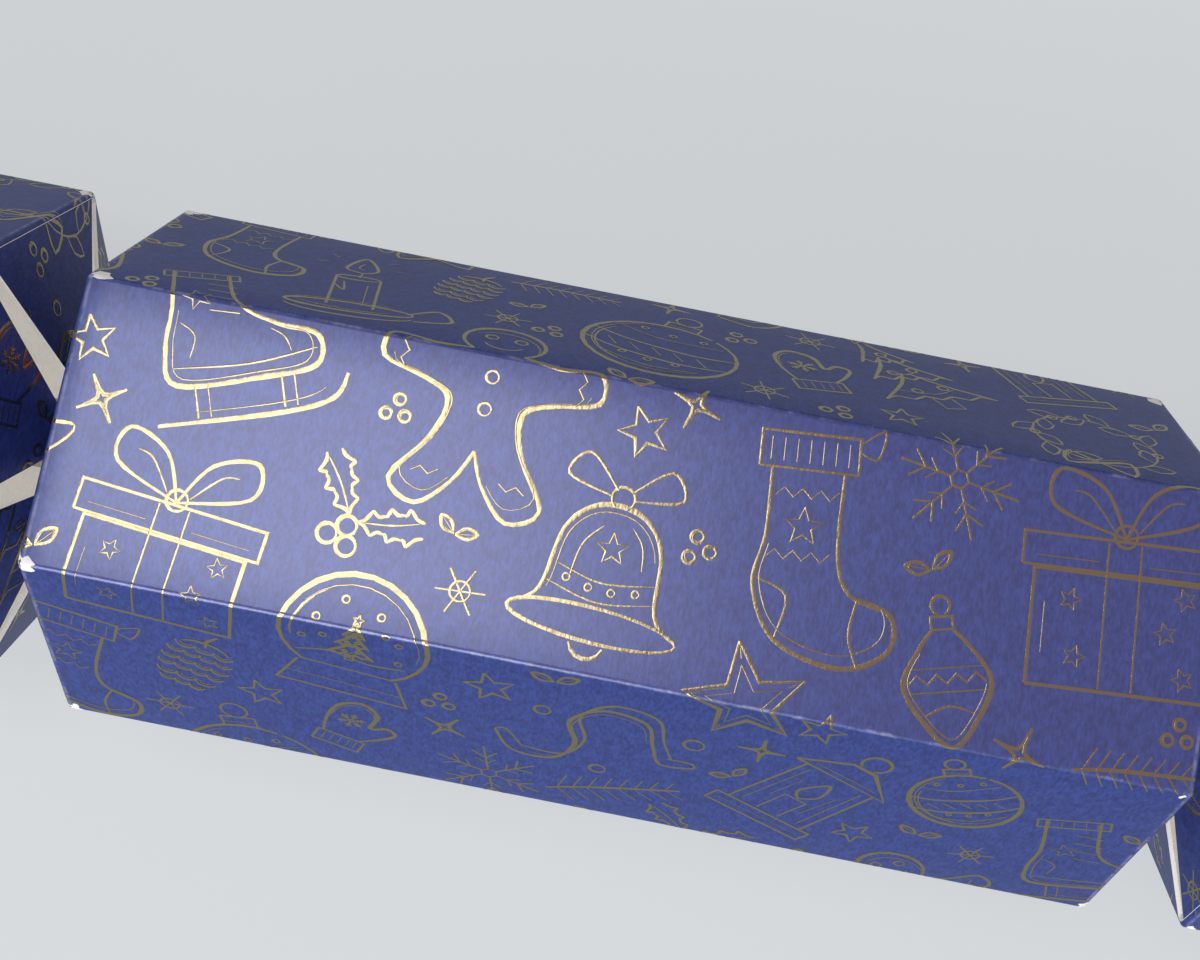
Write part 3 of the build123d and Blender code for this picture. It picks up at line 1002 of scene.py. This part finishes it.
def gingerbread():
    side = curve(1.4, (0, -0.46), (-0.12, -0.72), (-0.36, -0.95), (-0.6, -0.8), (-0.36, -0.42), (-0.3, -0.1),
                 (-0.5, 0.02), (-0.86, 0.12), (-0.82, 0.36), (-0.5, 0.32), (-0.2, 0.36), steps=4)
    cuff = line(0.7, *((-(0.68 + 0.05 * (k % 2)), 0.06 + 0.07 * k) for k in range(5)))
    hem = line(0.7, *((-(0.24 + 0.07 * k), -0.66 - 0.05 * (k % 2)) for k in range(4)))
    return [arc(1.4, 0, 0.62, 0.33, -52, 232), *both(side), arc(0.8, 0, 0.62, 0.17, 205, 335, least=6),
            *dots(0.9, 0.05, (-0.12, 0.7), (0.12, 0.7), (0, 0.14), (0, -0.12)),
            cuff, hem, mirrored(cuff), mirrored(hem)]


def snow_globe():
    snow = ((-0.4, 0.44), (-0.18, 0.68), (0.2, 0.62), (0.44, 0.34), (-0.5, 0.1), (0.48, 0.0), (0.3, 0.44),
            (-0.3, 0.2))
    return [arc(1.5, 0, 0.22, 0.74, -52, 232), arc(0.8, 0, 0.22, 0.63, 125, 195), level(1, 0.46, -0.36),
            line(1.4, *even((-0.5, -0.38), (-0.68, -0.86))), level(0.7, 0.6, -0.66),
            curve(0.8, (-0.54, -0.2), (-0.2, -0.08), (0.2, -0.16), (0.56, -0.1)),
            *dots(0.8, 0.035, *snow), *turned(fir_tree(), 0, 0.36, 0.0, 0.18)]


def ice_skate():
    struts = [line(weight, (x, -0.42), (x, -0.68))
              for x, weight in ((-0.34, 1), (-0.24, 0.8), (0.34, 1), (0.44, 0.8))]
    laces = [line(0.8, (-0.16, 0.62 - 0.15 * k), (0.07, 0.56 - 0.15 * k)) for k in range(4)]
    return [curve(1.4, (-0.42, 0.88), (-0.44, 0.3), (-0.54, -0.1), (-0.48, -0.4), (0.2, -0.42), (0.62, -0.38),
                  (0.66, -0.14), (0.34, 0.0), (0.06, 0.24), (0.02, 0.88)),
            closed(1, (-0.5, 0.88), (0.1, 0.88), (0.1, 0.74), (-0.5, 0.74)),
            curve(1.4, (-0.66, -0.7), (0.3, -0.72), (0.72, -0.66), (0.86, -0.48)), *struts,
            curve(0.7, (-0.5, -0.26), (0.1, -0.3), (0.64, -0.24)),
            curve(0.6, (-0.4, 0.1), (-0.3, -0.02), (-0.36, -0.2)),
            curve(0.6, (0.3, -0.04), (0.4, -0.12), (0.44, -0.24)),
            *little_star(0.7, -0.24, 0.3, 0.12, 0.05, 10),
            *ticks(0.76, 0.86, -0.4, -0.3, -0.2, -0.1, 0.0), *laces]


def lantern():
    return [arc(1.1, 0, 0.84, 0.13, -60, 240), closed(1.4, *even((-0.5, 0.4), (-0.12, 0.7))),
            *both(line(1.3, (-0.38, 0.4), (-0.42, -0.62))),
            closed(1.3, (-0.54, -0.62), (0.54, -0.62), (0.54, -0.8), (-0.54, -0.8)),
            *both(line(0.7, (-0.29, 0.34), (-0.32, -0.54))), line(1, *even((-0.12, -0.58), (-0.12, -0.18))),
            curve(1.1, (0, -0.16), (-0.1, -0.02), (0.02, 0.24), (0.11, 0.0), (0, -0.16)),
            level(0.7, 0.34, 0.47), level(0.6, 0.46, -0.71), line(0.6, (0.2, -0.4), (0.22, 0.1)),
            line(0.6, (-0.21, -0.3), (-0.2, 0.16))]


def pine_cone():
    strokes = []
    for row, count in enumerate((3, 4, 4, 4, 3, 3)):
        y = 0.5 - 0.24 * row
        half = 0.52 * math.sqrt(max(0.12, 1 - ((row - 2.1) / 3.9) ** 2))
        width = 2 * half / count
        for scale in range(count):
            x = -half + width * (scale + 0.5)
            strokes += [arc(1, x, y, width * 0.58, 195, 345, 1.1),
                        arc(0.6, x, y, width * 0.36, 205, 335, 1.1)]
    return strokes + [curve(1.2, (0, 0.5), (-0.04, 0.7), (0.06, 0.92)), arc(1.1, 0, 0.34, 0.42, 30, 150, 0.7)]


def drop():
    return [curve(1.4, *even((-0.12, 0.5), (-0.3, 0.3), (-0.56, -0.16), (-0.36, -0.62), (0, -0.98))),
            closed(1.1, *even((-0.14, 0.5), (-0.14, 0.66))), arc(1, 0, 0.8, 0.12, -70, 250),
            zigzag(0.9, -0.5, -0.18, 0.125, 0.12, 9), level(0.7, 0.53, -0.28), level(0.7, 0.5, 0.02),
            curve(0.8, *even((-0.3, -0.56), (0, -0.46)))]


LARGE = (bauble, bell, fir_tree, gift_box, stocking, swirl, wreath, candle, snow_globe, gingerbread,
         ice_skate, lantern)
MEDIUM = (star, snowflake, holly, candy_cane, mitten, fir_sprig, pine_cone, drop, bauble)
SMALL = (sparkle, small_star, berry_dots, tiny_flake, leaf_pair)


# The print
def drawing_curve(name, strokes, width, rough):
    """A curve object with the strokes of one drawing, thinner towards the ends of each stroke."""
    data = bpy.data.curves.new(name, "CURVE")
    data.dimensions = "3D"
    for order, (points, weight) in enumerate(strokes):
        spline = data.splines.new("POLY")
        count = len(points) - 1
        spline.points.add(count)
        for index, (x, y) in enumerate(points):
            spline.points[index].co = (x, y, (order + 0.6 * index / count) * STROKE_STEP, 1.0)
            taper = 0.5 + 0.5 * math.sin(math.pi * (0.08 + 0.84 * index / count))
            spline.points[index].radius = width / 2 * weight ** 1.25 * taper * rough.uniform(0.85, 1.12)
    return bpy.data.objects.new(name, data)


def sketched(strokes):
    """The strokes of a drawing, with a thin second line inside each long heavy one."""
    second = []
    for points, weight in strokes:
        if weight >= 1.3 and len(points) > 6:
            part = points[len(points) // 7:len(points) * 3 // 4]
            second.append(([(x * 0.89, y * 0.89) for x, y in part], 0.55))
    return strokes + second


def footprint(strokes):
    """The places that a drawing of radius 1 takes up, those inside it as well."""
    places = set()
    for points, _ in strokes:
        for (x, y), (next_x, next_y) in zip(points, points[1:]):
            steps = 1 + round(math.hypot(next_x - x, next_y - y) * PRINT_GRID)
            for step in range(steps):
                place = x + (next_x - x) * step / steps, y + (next_y - y) * step / steps
                places.update((round(place[0] * share * PRINT_GRID), round(place[1] * share * PRINT_GRID))
                              for share in (1.0, 0.75, 0.5, 0.25))
    return [(x / PRINT_GRID, y / PRINT_GRID) for x, y in places]


def scatter(foil):
    """Places for the drawings on the flat blank: (u, y, kind, turn, size), large ones first.

    None lies over another, and each takes the kind whose nearest copy lies farthest away.
    """
    chance = random.Random(foil.seed)
    rows = round(AROUND / LAYOUT_CELL)
    cell = AROUND / rows
    taken, layout = set(), []
    first = 0
    for radius, group, tries in ((foil.large, LARGE, 9000), (foil.medium, MEDIUM, 12000),
                                 (foil.small, SMALL, 14000)):
        prints = {kind: footprint(draw()) for kind, draw in enumerate(group, first)}
        first += len(group)
        for _ in range(tries):
            u = chance.uniform(-FLAT_END, FLAT_END)
            y = chance.uniform(-AROUND / 2, AROUND / 2)
            size = radius * chance.uniform(0.86, 1.12)
            turn = math.radians(chance.uniform(-32, 32))
            if (round(u / cell), round(y / cell) % rows) in taken:
                continue
            reach = {kind: min((abs(u - other[0]) + abs(y - other[1])
                                for other in layout if other[2] == kind),
                               default=chance.uniform(1, 2)) for kind in prints}
            kind = max(reach, key=reach.get)
            cosine, sine = math.cos(turn) * size, math.sin(turn) * size
            cells = {(round((u + x * cosine - v * sine) / cell),
                      round((y + x * sine + v * cosine) / cell) % rows) for x, v in prints[kind]}
            if not cells & taken:
                taken.update((column + over, (row + up) % rows) for column, row in cells
                             for over in (-1, 0, 1) for up in (-1, 0, 1))
                layout.append((u, y, kind, turn, size))
    return layout


def foil_tree(material):
    """Geometry nodes: a drawing on each point, its strokes swept to flat ribbons of foil."""
    tree = bpy.data.node_groups.new("foil_print", "GeometryNodeTree")
    tree.interface.new_socket("Places", in_out="INPUT", socket_type="NodeSocketGeometry")
    tree.interface.new_socket("Drawings", in_out="INPUT", socket_type="NodeSocketCollection")
    weight = tree.interface.new_socket("Line weight", in_out="INPUT", socket_type="NodeSocketFloat")
    weight.default_value = 1.0
    tree.interface.new_socket("Foil", in_out="OUTPUT", socket_type="NodeSocketGeometry")
    recipe = Recipe(tree)

    def attribute(name, kind):
        made = recipe.node("GeometryNodeInputNamedAttribute", {"data_type": kind}, Name=name)
        return next(Wire(recipe, output) for output in made.socket.node.outputs if output.enabled)

    given = recipe.node("NodeGroupInput")
    sources = recipe.node("GeometryNodeCollectionInfo", Collection=given.output("Drawings"),
                          Separate_Children=True, Reset_Children=True)
    heading = recipe.node("ShaderNodeCombineXYZ", Z=attribute("turn", "FLOAT"))
    rotation = recipe.node("FunctionNodeEulerToRotation", Euler=heading)
    copies = recipe.node("GeometryNodeInstanceOnPoints", Points=given, Instance=sources,
                         Pick_Instance=True, Instance_Index=attribute("kind", "INT"),
                         Rotation=rotation, Scale=attribute("size", "FLOAT"))
    strokes = recipe.node("GeometryNodeRealizeInstances", Geometry=copies)
    level_strokes = recipe.node("GeometryNodeSetCurveNormal", Curve=strokes)
    width_line = recipe.node("GeometryNodeCurvePrimitiveLine", Start=(-1, 0, 0), End=(1, 0, 0))
    reach = recipe.node("ShaderNodeSeparateXYZ", Vector=recipe.node("GeometryNodeInputPosition"))
    marked = recipe.node("GeometryNodeStoreNamedAttribute", {"data_type": "FLOAT", "domain": "POINT"},
                         Geometry=width_line, Name="across", Value=reach)
    widths = recipe.node("GeometryNodeInputRadius") * given.output("Line weight")
    ribbons = recipe.node("GeometryNodeCurveToMesh", Curve=level_strokes, Profile_Curve=marked, Scale=widths)
    solid = recipe.node("GeometryNodeRealizeInstances", Geometry=ribbons)
    coated = recipe.node("GeometryNodeSetMaterial", Geometry=solid, Material=material)
    recipe.put(tree.nodes.new("NodeGroupOutput").inputs[0], coated)
    return tree


def flat_foil(foil, material):
    """The whole print on the flat blank, as one mesh of ribbons in the XY plane: x is u, y is -v."""
    drawings = bpy.data.collections.new("drawings")
    bpy.context.scene.collection.children.link(drawings)
    rough = random.Random(foil.seed)
    for index, kind in enumerate((*LARGE, *MEDIUM, *SMALL)):
        width = foil.line_width * (0.8 if kind in SMALL else 1.0)
        drawings.objects.link(drawing_curve(f"drawing_{index:02d}", sketched(kind()), width, rough))
    layout = scatter(foil)
    mesh = bpy.data.meshes.new("places")
    mesh.from_pydata([(u, y, 0.0) for u, y, *_ in layout], [], [])
    for name, kind, column in (("kind", "INT", 2), ("turn", "FLOAT", 3), ("size", "FLOAT", 4)):
        layer = mesh.attributes.new(name, kind, "POINT")
        layer.data.foreach_set("value", [place[column] for place in layout])
    host = added("foil_layout", mesh)
    tree = foil_tree(material)
    modifier = host.modifiers.new("foil_print", "NODES")
    modifier.node_group = tree
    for item in tree.interface.items_tree:
        if item.name == "Drawings":
            modifier[item.identifier] = drawings
    flat = mesh_of(host)
    bpy.data.objects.remove(host)
    for source in list(drawings.objects):
        bpy.data.objects.remove(source)
    bpy.data.collections.remove(drawings)
    bpy.data.node_groups.remove(tree)
    return flat


def cut(shape, place, normal, drop=True):
    """Cuts a flat shape along a plane, and drops what is on the normal's side."""
    bmesh.ops.bisect_plane(shape, geom=whole(shape), dist=CUT_MERGE, plane_co=place, plane_no=normal,
                           clear_outer=drop)


def wrapped_print(flat):
    """The flat print with a copy of what crosses the seam on its other side."""
    shape = bmesh.new()
    shape.from_mesh(flat)
    copied = bmesh.ops.duplicate(shape, geom=whole(shape))
    moved = [item for item in copied["geom"] if isinstance(item, bmesh.types.BMVert)]
    bmesh.ops.translate(shape, verts=moved, vec=(0, -AROUND, 0))
    cut(shape, (0, -V_LOW, 0), (0, 1, 0))
    cut(shape, (0, -V_HIGH, 0), (0, -1, 0))
    return shape


def flat_place(point):
    """u and v of a point of the flat print."""
    return point.x, -point.y


def folded_foil(body, source, low, high, edges, folds, place):
    """The flat print from low to high, cut at its edges and folds, put in place and given relief."""
    foil = bpy.context.scene.cracker_foil
    shape = source.copy()
    far = [face for face in shape.faces
           if not all(least - NEARBY < middle < most + NEARBY for least, middle, most
                      in zip(low, flat_place(face.calc_center_median()), high))]
    bmesh.ops.delete(shape, geom=far, context="FACES")
    limits = (((low[0], 0, 0), (-1, 0, 0)), ((high[0], 0, 0), (1, 0, 0)),
              ((0, -low[1], 0), (0, 1, 0)), ((0, -high[1], 0), (0, -1, 0)))
    for point, normal in (*limits, *edges):
        cut(shape, point, normal)
    for point, normal in folds:
        cut(shape, point, normal, drop=False)
    if not shape.faces:
        shape.free()
        return
    layer = shape.loops.layers.uv.new("flat")
    for face in shape.faces:
        for loop in face.loops:
            loop[layer].uv = flat_place(loop.vert.co)
    for vert in shape.verts:
        vert.co = place(*flat_place(vert.co), foil.relief + vert.co.z)
    name = f"{body}_foil"
    mesh = bpy.data.meshes.new(name)
    shape.to_mesh(mesh)
    shape.free()
    mesh.materials.clear()
    mesh.materials.append(bpy.data.materials["gold_foil"])
    piece = added(name, mesh)
    thickness = piece.modifiers.new("relief", "SOLIDIFY")
    thickness.thickness = foil.relief * 0.9
    thickness.offset = -1.0
    piece.data = mesh_of(piece)
    piece.data.name = name
    piece.data.shade_flat()
    piece.modifiers.clear()
    bpy.data.meshes.remove(mesh)
    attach(piece, body)


def tube_foil(node, crease, start, end, source):
    """The print on the barrel or on a handle, which runs on round the beads at its creases."""
    radius = bpy.context.scene.cracker_card.fold_radius
    tangent = radius * math.tan(TURN / 2)
    folds = [((0, -(number * WIDTH + WIDTH / 2 + offset), 0), (0, 1, 0))
             for number in range(-1, SIDES) for offset in spread(-tangent, tangent, 4)]
    folds += [((each.flat(side, BEAD_ARC * share), 0, 0), (1, 0, 0))
              for side in (-1, 1) for each in (AT_BARREL, AT_HANDLE) for share in (0.0, 0.33, 0.66)]
    low = flat_of(start) - (BEAD_ARC if creased(start) else 0.0)
    high = flat_of(end) + (BEAD_ARC if creased(end) else 0.0)

    def place(u, v, lift):
        return crease.over_tube(u, v, lift, radius)

    folded_foil(node, source, (low, V_LOW), (high, V_HIGH), (), folds, place)


def flap_foil(flap, source):
    """The print on one flap, kept off its edges."""
    crease, middle = flap.crease, flap.number * WIDTH
    last = FLAP - (HOLLOW if crease is AT_HANDLE else 0.05 * MM)
    low, high = sorted((crease.flat(flap.side, 0.25 * MM), crease.flat(flap.side, last)))
    edges = []
    for hand in (-1, 1):
        root, tip = (Vector((crease.flat(flap.side, distance),
                             hand * (flap_half(distance) - FOIL_MARGIN) - middle, 0))
                     for distance in (0, FLAP))
        normal = (tip - root).cross(Vector((0, 0, 1)))
        edges.append((root, normal if normal.y * hand > 0 else -normal))

    def place(u, v, lift):
        return flap.place(crease.past(u), CARD + lift, v - middle)

    folded_foil(flap.node, source, (low, middle - WIDTH / 2), (high, middle + WIDTH / 2), edges, (), place)


# The contents
def rolled_hat(name, material):
    """The paper hat: one creased sheet of tissue rolled up, the points of its crown at one end."""
    low, high = (Vector(corner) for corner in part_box("paper_hat"))
    outer = (high.y - low.y) / 2
    middle_y, middle_z = (low.y + high.y) / 2, high.z - outer
    pitch, sheet, ease, hollow = 0.85 * MM, 0.3 * MM, 0.15 * MM, 2.2 * MM
    point_width, point_depth, end_gap = 14 * MM, 9 * MM, 0.6 * MM
    turns = (outer - hollow) / pitch
    around, along = round(turns * 30), 40    # steps round the roll, and along it
    points = []
    for step in range(around + 1):
        angle = math.tau * turns * step / around
        cosine, sine = math.cos(angle), math.sin(angle)
        radius = outer - ease - pitch * angle / math.tau
        crown = abs((radius * angle / point_width) % 1.0 - 0.5) * 2
        outside, inside = [], []
        for share in spread(0.0, 1.0, along):
            x = low.x + end_gap + share * (high.x - low.x - 2 * end_gap - point_depth * crown)
            crease = noise.noise(Vector((x / (5 * MM), 3 * cosine + angle / 2, 3 * sine)))
            fine = noise.noise(Vector((x / (1.8 * MM), angle * 5, 4.0)))
            reach = min(radius + (crease * 0.2 + fine * 0.07) * MM, outer - 0.05 * MM)
            outside.append((x, middle_y + reach * cosine, max(middle_z + reach * sine, low.z)))
            reach -= sheet
            inside.append((x, middle_y + reach * cosine, max(middle_z + reach * sine, low.z)))
        points += outside + inside[::-1]
    row = 2 * (along + 1)
    faces = grid_faces(around + 1, row, closed_columns=True)
    for start in (0, around * row):
        for step in range(along):
            faces.append((start + step, start + step + 1, start + row - 2 - step, start + row - 1 - step))
    return new_piece(name, points, faces, [material])


def ride_and_replace(piece, body, node):
    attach(piece, body)
    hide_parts(node)


def card_materials():
    """The printed card and its core, made once."""
    card = bpy.context.scene.cracker_card
    return [bpy.data.materials.get("pearl_card") or pearl_card(card),
            bpy.data.materials.get("card_core") or card_core(card)]


def dress(material, *nodes):
    """Gives carried-over solids their finish."""
    for node in nodes:
        mesh = frame["nodes"][node].data
        mesh.materials.clear()
        mesh.materials.append(material)


# The steps
class CRACKER_OT_tubes(Operator):
    """Folds the barrel and the two handles"""
    bl_idname = "cracker.tubes"
    bl_label = "Barrel and handles"

    def execute(self, context):
        card = context.scene.cracker_card
        materials = card_materials()
        for node, crease, start, end in TUBES:
            tube = card_tube(f"{node}_card", start, end, card, materials)
            ride_and_replace(tube, node, node)
            corners = [(flat_of(x), (number + 0.5) * WIDTH) for x in (start, end) if creased(x)
                       for number in range(SIDES)]
            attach(torn_patches(f"{node}_torn", crease, corners, card, materials[1]), node)
            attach(glue_tab(f"{node}_glue_tab", start, end, materials[1]), node)
        return {"FINISHED"}


class CRACKER_OT_flaps(Operator):
    """Folds the flaps of both necks"""
    bl_idname = "cracker.flaps"
    bl_label = "Neck flaps"

    def execute(self, context):
        for flap in FLAPS:
            ride_and_replace(neck_flap(flap, card_materials()), flap.node, flap.node)
        return {"FINISHED"}


class CRACKER_OT_foil(Operator):
    """Prints the drawings in gold foil over the barrel, the necks and the handles"""
    bl_idname = "cracker.foil"
    bl_label = "Foil drawings"

    def execute(self, context):
        foil = context.scene.cracker_foil
        flat = flat_foil(foil, gold_foil(foil))
        source = wrapped_print(flat)
        for tube in TUBES:
            tube_foil(*tube, source)
        for flap in FLAPS:
            flap_foil(flap, source)
        source.free()
        bpy.data.meshes.remove(flat)
        return {"FINISHED"}


class CRACKER_OT_snap(Operator):
    """Finishes the snap's strips, patches and paper band"""
    bl_idname = "cracker.snap"
    bl_label = "Snap"

    def execute(self, context):
        board = plain_paper("snap_board", (0.62, 0.57, 0.48), (0.5, 0.45, 0.36))
        dress(board, "snap_strip_left", "snap_strip_right")
        dress(friction_patch(), "snap_patch_left", "snap_patch_right")
        dress(plain_paper("band_paper", (0.36, 0.22, 0.12), (0.28, 0.16, 0.085), 1.4), "snap_band")
        return {"FINISHED"}


class CRACKER_OT_contents(Operator):
    """Finishes the hat, its rubber band, the motto and the spinning top"""
    bl_idname = "cracker.contents"
    bl_label = "Hat, motto and gift"

    def execute(self, context):
        hat = rolled_hat("paper_hat_roll", tissue_paper())
        ride_and_replace(hat, "barrel", "paper_hat")
        dress(rubber_band(), "hat_rubber_band")
        dress(plain_paper("motto_paper", (0.8, 0.79, 0.75), (0.7, 0.69, 0.64), 0.8), "motto_slip")
        dress(turned_wood("painted_wood", (0.5, 0.02, 0.015), (0.42, 0.015, 0.012), 0.6), "spinning_top_body")
        dress(turned_wood("plain_wood", (0.5, 0.31, 0.15), (0.36, 0.2, 0.09), 0.1), "spinning_top_stem")
        return {"FINISHED"}


def soft_lamp(name, place, target, width, depth, watts):
    """A rectangular lamp that faces its target."""
    data = bpy.data.lights.new(name, "AREA")
    data.shape = "RECTANGLE"
    data.size, data.size_y = width, depth
    data.energy = watts
    lamp = added(name, data)
    lamp.location = place
    lamp.rotation_euler = (Vector(target) - Vector(place)).to_track_quat("-Z", "Y").to_euler()


def room(stage):
    """The room around: pale walls, darker behind the cracker, under a dimmer ceiling."""
    world = bpy.data.worlds.new("room")
    world.use_nodes = True
    recipe = Recipe(world.node_tree)
    direction = recipe.node("ShaderNodeSeparateXYZ", {}, recipe.node("ShaderNodeTexCoord"))
    depth, height = direction.output(1), direction.output(2)
    camera = recipe.node("ShaderNodeLightPath")
    behind = depth.ramp(-0.2, 0.5) * (1.0 - camera.output("Is Glossy Ray") * 0.8)
    walls = recipe.blend(behind, stage.walls, dimmed(stage.walls, stage.back_wall))
    ceiling = recipe.blend(direction.ramp(-0.5, -0.1), dimmed(stage.ceiling, 0.12), stage.ceiling)
    colour = recipe.blend(height.ramp(0.4, 0.75), walls, ceiling)
    colour = recipe.blend(camera, colour, dimmed(stage.floor, 0.8))
    recipe.put(world.node_tree.nodes["Background"].inputs["Color"], colour)
    return world


class CRACKER_OT_stage(Operator):
    """Sets the floor, the lamps, the room and the camera"""
    bl_idname = "cracker.stage"
    bl_label = "Stage"

    def execute(self, context):
        scene = context.scene
        stage = scene.cracker_stage
        half = stage.floor_size / 2
        corners = [(-half, -half, 0), (half, -half, 0), (half, half, 0), (-half, half, 0)]
        new_piece("floor", corners, [(0, 1, 2, 3)], [floor_paint(stage)])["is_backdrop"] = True
        soft_lamp("key", place=(-0.18, 0.03, 0.62), target=(-0.18, 0.03, 0.0), width=0.36, depth=0.27,
                  watts=stage.key_power)
        soft_lamp("front_fill", place=(-0.25, -0.8, 0.5), target=AXIS, width=0.6, depth=0.5,
                  watts=stage.front_power)
        scene.world = room(stage)
        data = bpy.data.cameras.new("camera")
        data.sensor_width = 36.0
        data.lens = stage.lens
        data.clip_start = 0.01
        camera = added("camera", data)
        back = CAMERA_RIGHT.cross(CAMERA_UP).normalized()
        turn = Matrix((CAMERA_RIGHT, CAMERA_UP, back)).transposed().to_4x4()
        camera.matrix_world = Matrix.Translation(CAMERA_PLACE) @ turn
        scene.camera = camera
        scene.view_settings.view_transform = "Standard"
        return {"FINISHED"}


# The panel and the run
SETTINGS = {"cracker_card": CardSettings, "cracker_foil": FoilSettings, "cracker_stage": StageSettings}
STEPS = (CRACKER_OT_stage, CRACKER_OT_tubes, CRACKER_OT_flaps, CRACKER_OT_foil, CRACKER_OT_snap,
         CRACKER_OT_contents)


class CRACKER_PT_sidebar(Panel):
    """The cracker's settings and steps"""
    bl_idname = "CRACKER_PT_sidebar"
    bl_label = "Christmas Cracker"
    bl_space_type = "VIEW_3D"
    bl_region_type = "UI"
    bl_category = "Cracker"

    def draw(self, context):
        for group in SETTINGS:
            settings = getattr(context.scene, group)
            for name in settings.bl_rna.properties.keys():
                if name not in ("rna_type", "name"):
                    self.layout.prop(settings, name)
        for operator in STEPS:
            self.layout.operator(operator.bl_idname)


CLASSES = (*SETTINGS.values(), *STEPS, CRACKER_PT_sidebar)


def register():
    for item in CLASSES:
        bpy.utils.register_class(item)
    for name, settings in SETTINGS.items():
        setattr(bpy.types.Scene, name, PointerProperty(type=settings))


def unregister():
    for name in SETTINGS:
        delattr(bpy.types.Scene, name)
    for item in reversed(CLASSES):
        bpy.utils.unregister_class(item)


def main():
    register()
    bpy.ops.cracker.stage()
    bpy.ops.cracker.tubes()
    bpy.ops.cracker.flaps()
    bpy.ops.cracker.foil()
    bpy.ops.cracker.snap()
    bpy.ops.cracker.contents()
    sizes = [[list(corner) for corner in box] for box in (CAD_BOX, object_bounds())]


if __name__ == "__main__":
    main()
